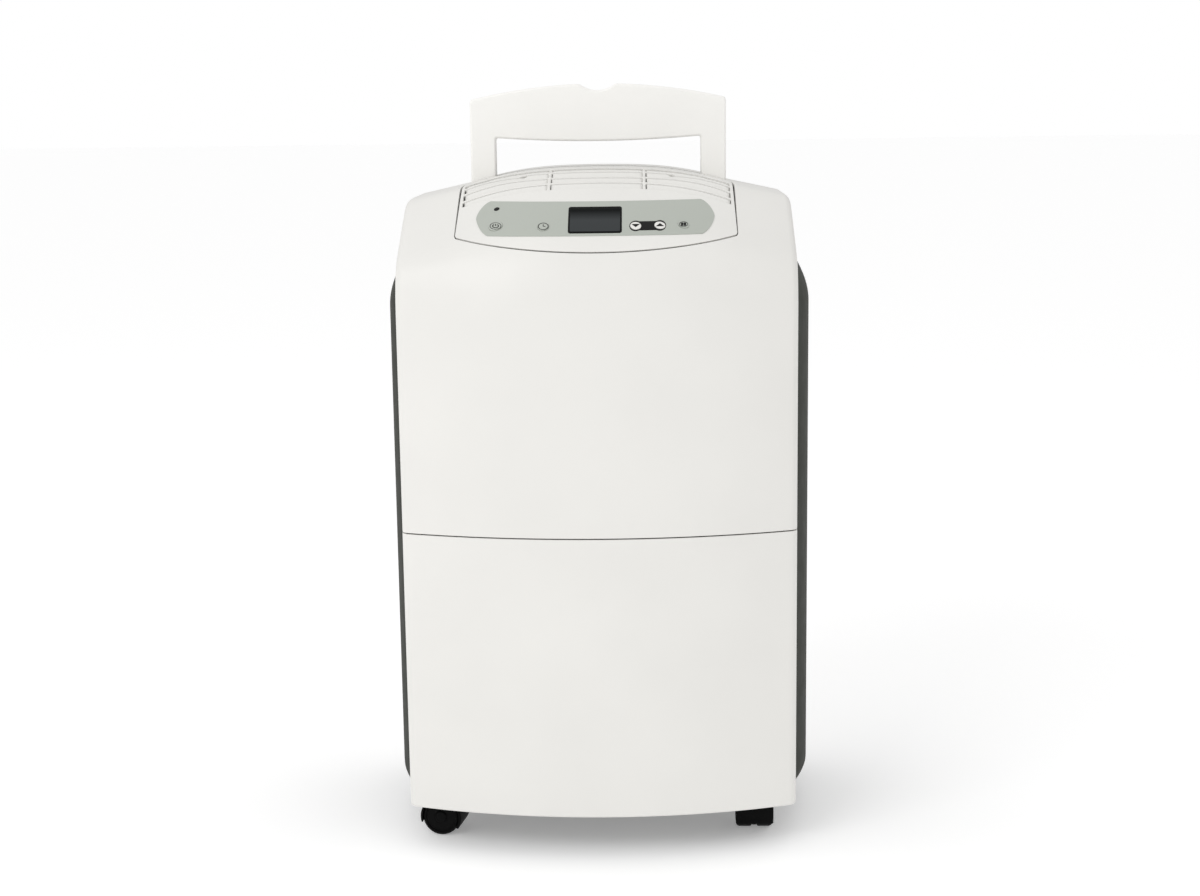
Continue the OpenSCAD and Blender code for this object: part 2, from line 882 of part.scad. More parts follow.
base_pan();
front_cover();
rear_cover();
side_panel_left();
side_panel_right();
top_panel();
panel_overlay();
display_window();
lcd_module();
arrow_band();
status_led();
control_board();
button_power();
button_timer();
button_down();
button_up();
button_fan();
handle();
handle_guides();
bay_cheeks();
bucket();
bucket_front();
bucket_lid();
float_arm();
float_block();
bay_wall();
mid_deck();
reed_switch();
compressor();
compressor_feet();
accumulator();
evaporator();
condenser();
refrigerant_pipes();
filter_drier();
fan_scroll();
fan_wheel();
fan_shaft();
fan_motor();
motor_bracket();
run_capacitor();
main_board();
humidity_sensor();
intake_grille();
filter_mesh();
drain_spigot();
cord_gland();
cabinet_screws();
caster_fork("fl");  // caster_fl_fork
caster_axle("fl");  // caster_fl_axle
caster_wheels("fl");  // caster_fl_wheels
caster_fork("fr");  // caster_fr_fork
caster_axle("fr");  // caster_fr_axle
caster_wheels("fr");  // caster_fr_wheels
caster_fork("rl");  // caster_rl_fork
caster_axle("rl");  // caster_rl_axle
caster_wheels("rl");  // caster_rl_wheels
caster_fork("rr");  // caster_rr_fork
caster_axle("rr");  // caster_rr_axle
caster_wheels("rr");  // caster_rr_wheels
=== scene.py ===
"""Looks of a portable dehumidifier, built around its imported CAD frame.

Every length is in metres. The cabinet's outer surface is one smooth function, form(), and each
visible moulding is a grid laid on that function, thickened and with its edges rolled over.
"""

import json
import math

import bmesh
import bpy
import numpy as np
from mathutils import Matrix, Vector


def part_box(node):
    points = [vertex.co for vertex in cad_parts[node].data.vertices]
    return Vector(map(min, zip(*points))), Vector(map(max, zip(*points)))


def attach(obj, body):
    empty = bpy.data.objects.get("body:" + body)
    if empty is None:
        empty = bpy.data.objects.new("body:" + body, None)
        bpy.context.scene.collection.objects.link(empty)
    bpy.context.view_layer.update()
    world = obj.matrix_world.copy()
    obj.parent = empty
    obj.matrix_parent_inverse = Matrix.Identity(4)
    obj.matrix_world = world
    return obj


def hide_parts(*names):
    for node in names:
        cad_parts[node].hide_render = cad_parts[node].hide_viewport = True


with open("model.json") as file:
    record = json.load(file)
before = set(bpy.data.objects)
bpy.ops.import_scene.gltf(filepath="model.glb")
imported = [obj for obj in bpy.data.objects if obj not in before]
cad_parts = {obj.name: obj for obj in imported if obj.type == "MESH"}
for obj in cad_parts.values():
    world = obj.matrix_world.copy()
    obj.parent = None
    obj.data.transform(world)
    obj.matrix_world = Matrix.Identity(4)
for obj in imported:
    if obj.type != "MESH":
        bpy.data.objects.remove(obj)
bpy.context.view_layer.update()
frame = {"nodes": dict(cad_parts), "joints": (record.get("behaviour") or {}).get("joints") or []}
scene = bpy.context.scene

# ---------------------------------------------------------------- sizes from the frame

MM = 0.001
TINY = 0.001 * MM
BUCKET_LOW, BUCKET_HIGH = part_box("bucket_front")
COVER_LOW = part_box("front_cover")[0]
REAR_LOW, REAR_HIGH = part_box("rear_cover")
INSERT_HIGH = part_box("top_panel")[1]
HANDLE_LOW, HANDLE_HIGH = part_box("handle")
PANEL_LOW, PANEL_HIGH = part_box("side_panel_right")
GRILLE_LOW, GRILLE_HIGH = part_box("intake_grille")
WINDOW_LOW, WINDOW_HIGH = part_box("display_window")
OVERLAY_LOW, OVERLAY_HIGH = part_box("panel_overlay")
WHEEL_LOW, WHEEL_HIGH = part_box("caster_fr_wheels")

CASTERS = ("fl", "fr", "rl", "rr")
CASTER_HALF = (WHEEL_HIGH.x - WHEEL_LOW.x) / 2
CASTER_WEB = 4 * MM
WHEEL_R = (WHEEL_HIGH.z - WHEEL_LOW.z) / 2
NECK_Z = 31 * MM
HALF_W = BUCKET_HIGH.x
FRONT_Y = BUCKET_LOW.y
REAR_Y = REAR_HIGH.y
TOP_Z = REAR_HIGH.z
BULGE = 32.5 * MM

# ---------------------------------------------------------------- the cabinet's outer surface

BULGE_R = (HALF_W**2 + BULGE**2) / (2 * BULGE)
BULGE_Y = FRONT_Y + BULGE_R
BROW_R = 127 * MM
BROW_Z = TOP_Z - 135 * MM
BROW_C = BULGE_R - BROW_R
CROWN_R = 256 * MM
CROWN_C = BULGE_R - 180 * MM
CROWN_Z = TOP_Z - 2 * MM - CROWN_R
ARCH_R = 440 * MM
SHOULDER_R = 419.4 * MM
SHOULDER_TILT = math.radians(29.5)
SHOULDER_AT = (-98 * MM, TOP_Z - 44 * MM)
WING_X = 131 * MM
ARCH_WING = 0.22
SHOULDER_WING = 0.28
BLEND = 3 * MM
EDGE_R = 6.5 * MM
FAR_INSIDE = -100 * MM
INSIDE_Y = 30 * MM
INSIDE_Z = 450 * MM
CLEAR = 30 * MM

# The shell and the seam round the control insert
SHELL_T = 2.6 * MM
COLUMN_STEP = 6 * MM
SPLIT_Y = 20 * MM
INSERT_HALF = WING_X
INSERT_CORNER_R = 1.5 * MM
SMILE_R = 715 * MM
SMILE_Z = 573 * MM
GAP = 0.6 * MM
SIDE_TAPER = 1.3 * MM
SEAM_STEPS = [step * MM for step in (0, 0.4, 1.2, 2.4, 4)]

# The grille's slots, bars, ribs and blades
SLOTS = 4
SLOT_Y = -50 * MM
SLOT_PITCH = 16.5 * MM
SLOT_BOW = -4 * MM
SLOT_FAN = 5.5 * MM
BAR_W = 3.5 * MM
RIB_X = 45 * MM
RIB_HALF = 1.5 * MM
BAY_X = 127.5 * MM
BLADE_GAP_LEFT = 2.4 * MM
BLADE_GAP_RIGHT = 1.6 * MM

# The grey film and what it carries; each button is the x and the radius of its cap
OVERLAY_STRAIGHT = 98 * MM
OVERLAY_MIDDLE = -0.8 * MM
OVERLAY_TIP = 13 * MM
POINTED = 1.5
BUTTON_Z = 595 * MM
BUTTONS = {}
for button_key in ("power", "timer", "down", "up", "fan"):
    cap_low, cap_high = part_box("button_" + button_key)
    BUTTONS[button_key] = ((cap_low.x + cap_high.x) / 2, (cap_high.x - cap_low.x) / 2)
HOLE_DEEP = 4 * MM
HOLE_LENGTH = 9 * MM
LAMP_AT = (-92.6 * MM, 609.5 * MM)
LAMP_R = 2.7 * MM
PILL_RISE = 0.45 * MM
PILL_SQUASH = 0.76


def winged_drop(x, r, slope):
    """How far an arc with straight wings lies below its crest at x."""
    x = np.abs(x)
    inner = np.minimum(x, WING_X)
    return r - np.sqrt(r**2 - inner**2) + slope * (x - inner)


def form(x, y, z):
    """Signed distance, roughly, from the cabinet's outer surface: below zero inside."""
    r = np.hypot(x, BULGE_Y - y)
    lid = z - BROW_Z - BROW_R + FAR_INSIDE / 2
    brow = np.where(r > BROW_C, np.hypot(r - BROW_C, z - BROW_Z) - BROW_R, lid)
    brow = np.where(z > BROW_Z, brow, r - BULGE_R)
    rim = np.hypot(r - CROWN_C, np.maximum(z - CROWN_Z, 0)) - CROWN_R
    crown = np.where(r > CROWN_C, rim, z - CROWN_Z - CROWN_R)
    crown = np.where(z > CROWN_Z, crown, FAR_INSIDE)
    sy, sz = SHOULDER_AT
    rise = (z - sz) * math.cos(SHOULDER_TILT) - (y - sy) * math.sin(SHOULDER_TILT)
    shoulder = rise + winged_drop(x, SHOULDER_R, SHOULDER_WING)
    arch = z - TOP_Z + winged_drop(x, ARCH_R, ARCH_WING)
    rear = y - REAR_Y
    parts = np.stack(np.broadcast_arrays(brow, crown, shoulder, arch, rear))
    top = parts.max(axis=0)
    return top + BLEND * np.log(np.exp((parts - top) / BLEND).sum(axis=0))


def bisect(inside, outside, value):
    """Where value(t) crosses zero between t = inside, below zero, and t = outside, above it."""
    a, b = np.array(inside, float), np.array(outside, float)
    for _ in range(44):
        m = (a + b) / 2
        out = value(m) > 0
        b = np.where(out, m, b)
        a = np.where(out, a, m)
    return (a + b) / 2


def front_at(x, z, inset=0.0):
    """Depth y of the surface at (x, z) in front view, drawn inwards by inset."""
    x, z = np.broadcast_arrays(np.asarray(x, float), np.asarray(z, float))
    inside, outside = np.full(x.shape, INSIDE_Y), np.full(x.shape, FRONT_Y - CLEAR)
    return bisect(inside, outside, lambda y: form(x, y, z) + inset)


def top_at(x, y, inset=0.0):
    """Height z of the surface at (x, y) in plan, drawn inwards by inset."""
    x, y = np.broadcast_arrays(np.asarray(x, float), np.asarray(y, float))
    inside, outside = np.full(x.shape, INSIDE_Z), np.full(x.shape, TOP_Z + CLEAR)
    return bisect(inside, outside, lambda z: form(x, y, z) + inset)


def stations(half, step, corner=EDGE_R, turns=7):
    """(x, inset) from one side to the other, closing up round the vertical corners."""
    flat = half - corner
    n = int(round(2 * flat / step))
    xs = [(-flat + 2 * flat * i / n, 0.0) for i in range(n + 1)]
    rounds = []
    for i in range(1, turns + 1):
        a = math.pi / 2 * i / turns
        rounds.append((flat + corner * math.sin(a), corner * (1 - math.cos(a))))
    return [(-x, s) for x, s in reversed(rounds)] + xs + rounds


# ---------------------------------------------------------------- mesh helpers


def weld(name, patches, outward_from=None):
    """One mesh from grids of points, welded where they meet. Faces look away from a point."""
    bm = bmesh.new()
    for grid in patches:
        rows, cols = len(grid), len(grid[0])
        verts = [[bm.verts.new(grid[i][j]) for j in range(cols)] for i in range(rows)]
        for i in range(rows - 1):
            for j in range(cols - 1):
                bm.faces.new((verts[i][j], verts[i][j + 1], verts[i + 1][j + 1], verts[i + 1][j]))
    bmesh.ops.remove_doubles(bm, verts=bm.verts, dist=20 * TINY)
    bmesh.ops.dissolve_degenerate(bm, edges=bm.edges, dist=TINY)
    bmesh.ops.recalc_face_normals(bm, faces=bm.faces)
    if outward_from is not None:
        centre = Vector(outward_from)
        away = sum(f.normal.dot(f.calc_center_median() - centre) * f.calc_area() for f in bm.faces)
        if away < 0:
            bmesh.ops.reverse_faces(bm, faces=bm.faces)
    mesh = bpy.data.meshes.new(name)
    bm.to_mesh(mesh)
    bm.free()
    return mesh


def paint(mesh, material):
    """Leaves a mesh with one material."""
    mesh.materials.clear()
    mesh.materials.append(material)


def add_object(name, mesh, material, body, replaces=(), smooth=True):
    """A visible piece that rides on a body and stands in for CAD nodes."""
    obj = bpy.data.objects.new(name, mesh)
    scene.collection.objects.link(obj)
    if smooth:
        mesh.shade_smooth()
    paint(mesh, material)
    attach(obj, body)
    if replaces:
        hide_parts(*replaces)
    return obj


def thicken(obj, thickness, edge=0.6 * MM, segments=3, angle=40):
    """Gives a surface a wall behind it and, unless edge is 0, rounds the wall's edges."""
    solid = obj.modifiers.new("wall", "SOLIDIFY")
    solid.thickness = thickness
    solid.offset = -1
    solid.use_even_offset = True
    solid.thickness_clamp = 0
    if edge:
        round_edges(obj, edge, segments, angle)


def round_edges(obj, width, segments=3, angle=40):
    """Rounds every edge sharper than an angle in degrees."""
    bevel = obj.modifiers.new("edges", "BEVEL")
    bevel.width = width
    bevel.segments = segments
    bevel.limit_method = "ANGLE"
    bevel.angle_limit = math.radians(angle)
    bevel.harden_normals = False
    obj.modifiers.new("shading", "WEIGHTED_NORMAL").keep_sharp = True


def cut(obj, cutter_mesh, name):
    """Cuts a closed mesh out of obj with a boolean that is applied at once."""
    cutter = bpy.data.objects.new(name, cutter_mesh)
    scene.collection.objects.link(cutter)
    boolean = obj.modifiers.new(name, "BOOLEAN")
    boolean.operation = "DIFFERENCE"
    boolean.solver = "EXACT"
    boolean.object = cutter
    bake(obj)
    bpy.data.objects.remove(cutter)


def bake(obj):
    """Applies every modifier on obj."""
    bpy.context.view_layer.update()
    graph = bpy.context.evaluated_depsgraph_get()
    new = bpy.data.meshes.new_from_object(obj.evaluated_get(graph))
    obj.modifiers.clear()
    old = obj.data
    obj.data = new
    bpy.data.meshes.remove(old)


def drill(obj, m, radius, length, name):
    """Cuts a round hole that starts at the frame m and runs along its Z axis."""
    profile = [(TINY, 0), (radius, 0), (radius, length), (TINY, length)]
    pin = weld(name, [lathe(profile)], (0, 0, length / 2))
    cut(obj, placed(pin, m), name)


def lathe(profile, turns=48):
    """Grid of points from (radius, height) pairs turned about +Z."""
    grid = []
    for r, h in profile:
        row = []
        for i in range(turns + 1):
            a = 2 * math.pi * i / turns
            row.append((r * math.cos(a), r * math.sin(a), h))
        grid.append(row)
    return grid


def rounded_profile(radius, low, high, edge, steps=5):
    """(radius, height) pairs of a closed disc with a rolled upper edge."""
    out = [(TINY, low), (radius, low)]
    for i in range(steps + 1):
        a = math.pi / 2 * i / steps
        out.append((radius - edge + edge * math.cos(a), high - edge + edge * math.sin(a)))
    out.append((TINY, high))
    return out


def placed(mesh, matrix):
    """The same mesh, moved by a matrix."""
    mesh.transform(matrix)
    return mesh


def box_mesh(name, low, high):
    """A plain box between two corners."""
    bm = bmesh.new()
    bmesh.ops.create_cube(bm, size=1)
    size = Vector(high) - Vector(low)
    centre = (Vector(high) + Vector(low)) / 2
    bmesh.ops.scale(bm, vec=size, verts=bm.verts)
    bmesh.ops.translate(bm, vec=centre, verts=bm.verts)
    mesh = bpy.data.meshes.new(name)
    bm.to_mesh(mesh)
    bm.free()
    return mesh


def surface_frame(x, z, lift=0.0):
    """A frame on the form at (x, z) in front view: X to the right, Y up the slope, Z outward."""
    y = float(front_at(x, z))
    e = 0.4 * MM
    grad = Vector(
        (
            float(form(x + e, y, z) - form(x - e, y, z)),
            float(form(x, y + e, z) - form(x, y - e, z)),
            float(form(x, y, z + e) - form(x, y, z - e)),
        )
    ).normalized()
    right = Vector((1, 0, 0))
    right = (right - grad * right.dot(grad)).normalized()
    up = grad.cross(right)
    m = Matrix((right, up, grad)).transposed().to_4x4()
    m.translation = Vector((x, y, z)) + grad * lift
    return m


# ---------------------------------------------------------------- materials


def new_material(name, color, rough, specular=0.5):
    """A material, its node tree and its shader."""
    m = bpy.data.materials.new(name)
    m.use_nodes = True
    shader = m.node_tree.nodes["Principled BSDF"]
    shader.inputs["Base Color"].default_value = (*color, 1)
    shader.inputs["Roughness"].default_value = rough
    shader.inputs["Specular IOR Level"].default_value = specular
    return m, m.node_tree, shader


def noise(tree, scale, detail=3.0, rough=0.5, stretch=None):
    """A noise texture in object coordinates, in metres."""
    coord = tree.nodes.new("ShaderNodeTexCoord")
    tex = tree.nodes.new("ShaderNodeTexNoise")
    tex.inputs["Scale"].default_value = scale
    tex.inputs["Detail"].default_value = detail
    tex.inputs["Roughness"].default_value = rough
    if stretch:
        mapping = tree.nodes.new("ShaderNodeMapping")
        mapping.inputs["Scale"].default_value = stretch
        tree.links.new(coord.outputs["Object"], mapping.inputs["Vector"])
        tree.links.new(mapping.outputs["Vector"], tex.inputs["Vector"])
    else:
        tree.links.new(coord.outputs["Object"], tex.inputs["Vector"])
    return tex.outputs["Fac"]


def vary(tree, fac, low, high):
    """A colour ramp between two colours, or two greys given as numbers."""
    ramp = tree.nodes.new("ShaderNodeValToRGB")
    ends = [(v, v, v) if isinstance(v, (int, float)) else v for v in (low, high)]
    ramp.color_ramp.elements[0].position = 0.3
    ramp.color_ramp.elements[1].position = 0.7
    for element, value in zip(ramp.color_ramp.elements, ends):
        element.color = (*value, 1)
    tree.links.new(fac, ramp.inputs["Fac"])
    return ramp.outputs["Color"]


def bump(tree, shader, fac, depth, strength=1.0):
    """Lets a texture raise the surface by a depth in metres."""
    node = tree.nodes.new("ShaderNodeBump")
    node.inputs["Strength"].default_value = strength
    node.inputs["Distance"].default_value = depth
    tree.links.new(fac, node.inputs["Height"])
    tree.links.new(node.outputs["Normal"], shader.inputs["Normal"])


def moulded(name, color, rough, grain=2600.0, depth=0.012 * MM, shade=0.97, specular=0.5):
    """Moulded plastic: fine spark texture, slow colour drift and slightly uneven gloss."""
    m, tree, shader = new_material(name, color, rough, specular)
    darker = tuple(c * shade for c in color)
    gloss = vary(tree, noise(tree, 60.0, 4.0), rough - 0.04, rough + 0.04)
    tree.links.new(vary(tree, noise(tree, 9.0, 2.0), darker, color), shader.inputs["Base Color"])
    tree.links.new(gloss, shader.inputs["Roughness"])
    bump(tree, shader, noise(tree, grain, 2.0), depth)
    return m


def metal(name, color, rough, brushed=False):
    """Bare metal with uneven gloss, drawn out along Z where it is brushed."""
    m, tree, shader = new_material(name, color, rough)
    shader.inputs["Metallic"].default_value = 1.0
    stretch = (1.0, 1.0, 40.0) if brushed else None
    grain = noise(tree, 220.0, 4.0, 0.6, stretch)
    darker = tuple(c * 0.9 for c in color)
    tree.links.new(vary(tree, grain, rough - 0.06, rough + 0.08), shader.inputs["Roughness"])
    tree.links.new(vary(tree, noise(tree, 30.0), darker, color), shader.inputs["Base Color"])
    bump(tree, shader, grain, 0.02 * MM, 0.5)
    return m


WHITE = moulded("white_shell", (0.80, 0.79, 0.76), 0.40, specular=0.35)
WHITE_HANDLE = moulded("white_handle", (0.92, 0.91, 0.88), 0.40, specular=0.35)
SIDE_GREY = moulded("side_grey", (0.034, 0.036, 0.029), 0.6, 1900.0, 0.03 * MM, shade=0.85, specular=0.08)
FILM = moulded("overlay_film", (0.44, 0.465, 0.42), 0.38, grain=4200.0, depth=0.006 * MM)
BLACK = moulded("black_plastic", (0.004, 0.004, 0.004), 0.5, depth=0.02 * MM, specular=0.07)
PRINT = moulded("print_ink", (0.008, 0.008, 0.008), 0.5, specular=0.15)
INNER = moulded("inner_plastic", (0.55, 0.56, 0.54), 0.5)
CLEAR_GREY = moulded("bucket_plastic", (0.66, 0.70, 0.69), 0.22)
FAN = moulded("fan_plastic", (0.05, 0.05, 0.05), 0.45)
NYLON = moulded("caster_nylon", (0.004, 0.004, 0.004), 0.5, depth=0.03 * MM, specular=0.07)
# Dark rubber for the compressor feet, also used for the painted shade strip under the insert's seam.
RUBBER_AND_PAINTED_SHADE = moulded("rubber", (0.02, 0.02, 0.02), 0.7, depth=0.05 * MM)
FILTER_NET = moulded("filter_net", (0.03, 0.03, 0.03), 0.7, grain=900.0, depth=0.3 * MM)
STEEL = metal("steel", (0.55, 0.56, 0.58), 0.32, brushed=True)
COPPER = metal("copper", (0.75, 0.38, 0.24), 0.3)
ALUMINIUM = metal("coil_fins", (0.80, 0.81, 0.83), 0.35, brushed=True)
ENAMEL = moulded("black_enamel", (0.014, 0.014, 0.015), 0.25, grain=700.0, depth=0.04 * MM)
BOARD = moulded("circuit_board", (0.02, 0.14, 0.06), 0.4)


def display_material_with_painted_reflection():
    """Dark liquid-crystal glass with a painted reflection: a little bluer and lighter towards its lower
    edge.
    """
    m, tree, shader = new_material("display_glass", (0.02, 0.022, 0.024), 0.25, 0.04)
    coord = tree.nodes.new("ShaderNodeTexCoord")
    split = tree.nodes.new("ShaderNodeSeparateXYZ")
    span = tree.nodes.new("ShaderNodeMapRange")
    height = WINDOW_HIGH.z - WINDOW_LOW.z
    span.inputs["From Min"].default_value = WINDOW_LOW.z + 0.25 * height
    span.inputs["From Max"].default_value = WINDOW_HIGH.z + 0.1 * height
    tree.links.new(coord.outputs["Object"], split.inputs["Vector"])
    tree.links.new(split.outputs["Z"], span.inputs["Value"])
    # Painted reflection: lighter and bluer low on the window, near black at its top.
    glass = vary(tree, span.outputs["Result"], (0.048, 0.052, 0.054), (0.002, 0.003, 0.003))
    tree.links.new(glass, shader.inputs["Base Color"])
    tree.links.new(vary(tree, noise(tree, 60.0, 4.0), 0.22, 0.28), shader.inputs["Roughness"])
    return m


LCD_WITH_PAINTED_REFLECTION = display_material_with_painted_reflection()

# ---------------------------------------------------------------- cabinet mouldings


def seam_z(x):
    """Height of the seam under the insert, with its lower corners rounded."""
    x = np.abs(np.asarray(x, float))
    smile = SMILE_Z + SMILE_R - np.sqrt(SMILE_R**2 - np.minimum(x, INSERT_HALF) ** 2)
    over = np.clip(x - (INSERT_HALF - INSERT_CORNER_R), 0, INSERT_CORNER_R)
    return smile + INSERT_CORNER_R - np.sqrt(INSERT_CORNER_R**2 - over**2)


def columns(cols):
    """Positions and insets of stations, as two arrays."""
    return np.array([c[0] for c in cols]), np.array([c[1] for c in cols])


def column_split(half):
    """Stations of a full-width moulding that also fall exactly on +-half."""
    cols = [c for c in stations(HALF_W, COLUMN_STEP) if abs(abs(c[0]) - half) > 2.5 * MM]
    cols += [(side * (half - step), 0.0) for step in SEAM_STEPS for side in (-1, 1)]
    return sorted(cols)


def front_grid(cols, low, high, rows):
    """Grid in front view between two heights, each a number or a function of x."""
    xs, inset = columns(cols)
    z0 = low(xs) if callable(low) else np.full(xs.shape, low)
    z1 = high(xs) if callable(high) else np.full(xs.shape, high)
    grid = []
    for i in range(rows + 1):
        t = i / rows
        z = z0 + (z1 - z0) * t
        grid.append(np.stack([xs, front_at(xs, z, inset), z], axis=-1))
    return np.array(grid)


def top_grid(cols, start, end, rows):
    """Grid in plan view between two depths, each a number or an array over the columns."""
    xs, inset = columns(cols)
    y0 = np.broadcast_to(start, xs.shape)
    y1 = np.broadcast_to(end, xs.shape)
    grid = []
    for i in range(rows + 1):
        y = y0 + (y1 - y0) * i / rows
        grid.append(np.stack([xs, y, top_at(xs, y, inset)], axis=-1))
    return np.array(grid)


def fill(edge, inner, rows):
    """Grid from a line of edge points to a line of inner points."""
    t = np.linspace(0, 1, rows + 1)[:, None, None]
    return edge[None] * (1 - t) + inner[None] * t


def upper_cover():
    """White upper front: bulged face, brow and the two shoulders beside the control insert."""
    cut_x = INSERT_HALF + GAP
    cols = column_split(cut_x)
    fall = 24 * MM

    def top_edge(xs):
        inner = seam_z(np.minimum(np.abs(xs), cut_x)) - GAP
        return inner - fall * np.clip((np.abs(xs) - cut_x) / (HALF_W - cut_x), 0, 1)

    face = front_grid(cols, COVER_LOW.z, top_edge, 64)
    patches = [face]
    for side in (-1, 1):
        idx = [i for i, c in enumerate(cols) if side * c[0] >= cut_x - TINY]
        wing = [cols[i] for i in idx]
        start = face[-1][idx]
        shoulder = top_grid(wing, start[:, 1], SPLIT_Y - 0.2 * MM, 40)
        shoulder[0] = start
        patches.append(shoulder)
        outer = -1 if side > 0 else 0
        edge = np.concatenate([face[:, outer], shoulder[1:, outer]])
        inner = edge.copy()
        inner[:, 1] = np.maximum(edge[:, 1], -60 * MM)
        inner[:, 2] = np.minimum(edge[:, 2], 548 * MM)
        patches.append(fill(edge, inner, 6))
    mesh = weld("upper_cover", patches, (0, 0, 0.45))
    obj = add_object("upper_cover", mesh, WHITE, "cabinet", ["front_cover"])
    thicken(obj, SHELL_T)


def lower_front():
    """White bucket front: bulged face with rolled lower edge and side returns."""
    cols = stations(HALF_W, COLUMN_STEP, corner=6 * MM)
    roll = 2.5 * MM
    roll_z = BUCKET_LOW.z + roll
    xs, inset = columns(cols)
    rolled = []
    for i in range(8):
        a = math.pi / 2 * (1 - i / 8)
        pulled = roll * (1 - math.cos(a))
        y = front_at(xs, np.full(xs.shape, roll_z), inset + pulled)
        z = np.full(xs.shape, roll_z - roll * math.sin(a))
        rolled.append(np.stack([xs * (1 - pulled / HALF_W), y, z], axis=-1))
    grid = np.concatenate([np.array(rolled), front_grid(cols, roll_z, BUCKET_HIGH.z, 44)])
    patches = [grid]
    for column in (0, -1):
        edge = grid[:, column]
        inner = edge.copy()
        inner[:, 1] = BUCKET_HIGH.y
        patches.append(fill(edge, inner, 6))
    mesh = weld("lower_front", patches, (0, 0, 0.2))
    obj = add_object("lower_front", mesh, WHITE, "water_bucket", ["bucket_front"])
    thicken(obj, SHELL_T)


def rear_shell():
    """White rear cover: top behind the handle, back wall with its openings, side walls."""
    cut_x = INSERT_HALF + GAP
    slot_x = HANDLE_HIGH.x - 3 * MM
    splits = (cut_x, slot_x)
    cols = [c for c in stations(HALF_W, COLUMN_STEP) if min(abs(abs(c[0]) - x) for x in splits) > 2 * MM]
    cols = sorted(cols + [(side * x, 0.0) for x in splits for side in (-1, 1)])

    def beyond(side, x):
        """Columns from x outwards on one side."""
        return [c for c in cols if side * c[0] >= x - TINY]

    seam_y = SPLIT_Y + 0.2 * MM
    insert_y = INSERT_HIGH.y + GAP
    slot_front = HANDLE_LOW.y - 1 * MM
    slot_rear = HANDLE_HIGH.y + 1 * MM
    patches = [
        top_grid(beyond(-1, cut_x), seam_y, insert_y, 3),
        top_grid(beyond(1, cut_x), seam_y, insert_y, 3),
        top_grid(cols, insert_y, slot_front, 6),
        top_grid(beyond(-1, slot_x), slot_front, slot_rear, 6),
        top_grid(beyond(1, slot_x), slot_front, slot_rear, 6),
        top_grid(cols, slot_rear, REAR_Y - 22 * MM, 12),
    ]
    last = patches[-1][-1]
    xs, inset = columns(cols)
    down = []
    for i in range(1, 15):
        a = math.pi / 2 * i / 14
        y = last[:, 1] + (REAR_Y - inset - last[:, 1]) * math.sin(a)
        z = last[:, 2] - 24 * MM * (1 - math.cos(a))
        z = np.minimum(z, top_at(xs, np.minimum(y, REAR_Y - 0.3 * MM - inset), inset))
        down.append(np.stack([xs, y, z], axis=-1))
    corner = np.concatenate([last[None], np.array(down)])
    patches.append(corner)
    wall_y, start_z = corner[-1][:, 1], corner[-1][:, 2]
    wall = []
    for i in range(41):
        wall.append(np.stack([xs, wall_y, start_z + (REAR_LOW.z - start_z) * i / 40], axis=-1))
    patches.append(np.array(wall))
    for column, strip, arm in ((0, patches[0], patches[3]), (-1, patches[1], patches[4])):
        grids = (strip, patches[2], arm, patches[5], corner[1:], wall[1:])
        edge = np.array([row[column] for grid in grids for row in grid])
        inner = edge.copy()
        inner[:, 1] = np.minimum(edge[:, 1], REAR_Y - 30 * MM)
        inner[:, 2] = np.minimum(edge[:, 2], 540 * MM)
        patches.append(fill(edge, inner, 3))
    mesh = weld("rear_shell", patches, (0, 0.02, 0.4))
    obj = add_object("rear_shell", mesh, WHITE, "cabinet", ["rear_cover"])
    solid = obj.modifiers.new("wall", "SOLIDIFY")
    solid.thickness = SHELL_T
    solid.offset = -1
    intake_low, intake_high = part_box("filter_mesh")
    grow = Vector((0.5 * MM, 20 * MM, 0.5 * MM))
    cut(obj, box_mesh("intake_cut", intake_low - grow, intake_high + grow), "intake_cut")
    for node, radius, drop in (("drain_spigot", 18 * MM, 11 * MM), ("cord_gland", 7 * MM, 10 * MM)):
        low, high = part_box(node)
        at = Matrix.Translation(((low.x + high.x) / 2, REAR_Y - 10 * MM, high.z - drop))
        drill(obj, at @ Matrix.Rotation(-math.pi / 2, 4, "X"), radius, 30 * MM, node + "_hole")
    paint(obj.data, WHITE)
    obj.data.shade_smooth()
    round_edges(obj, 0.6 * MM, 2, 50)


def side_panel(name, side):
    """Bow-sided dark panel with rounded corners, thinning out towards its two ends."""
    y0, y1 = PANEL_LOW.y, PANEL_HIGH.y
    z0, z1 = PANEL_LOW.z, PANEL_HIGH.z
    base = PANEL_LOW.x
    depth = PANEL_HIGH.x - base
    corner = 14 * MM
    foot, head = 8 * MM, 50 * MM
    grid = []
    for i in range(121):
        z = (z0 + z1) / 2 - (z1 - z0) / 2 * math.cos(math.pi * i / 120)
        low = min((z - z0) / foot, 1)
        high = min((z1 - z) / head, 1)
        end = math.sqrt(1 - (1 - low) ** 2) * math.sin(math.pi / 2 * high)
        nearest = min(z - z0, z1 - z, corner)
        trim = corner - math.sqrt(corner**2 - (corner - nearest) ** 2)
        row = []
        for u in np.linspace(-1, 1, 41):
            bow = (1 - abs(u) ** 2.2) * end
            y = (y0 + y1) / 2 + ((y1 - y0) / 2 - trim) * u
            row.append((side * (base + depth * bow), y, z))
        grid.append(row)
    mesh = weld(name, [grid], (0, (y0 + y1) / 2, 0.3))
    obj = add_object(name, mesh, SIDE_GREY, "cabinet", [name.replace("_skin", "")])
    thicken(obj, 2.4 * MM, 0.4 * MM)


# ---------------------------------------------------------------- control insert and grille


def slot_edge(k, x):
    """Front edge of the k-th slot in plan; its rear edge lies a bar ahead of the next one."""
    return SLOT_Y + k * SLOT_PITCH - (SLOT_BOW + k * SLOT_FAN) * (np.asarray(x, float) / BAY_X) ** 2


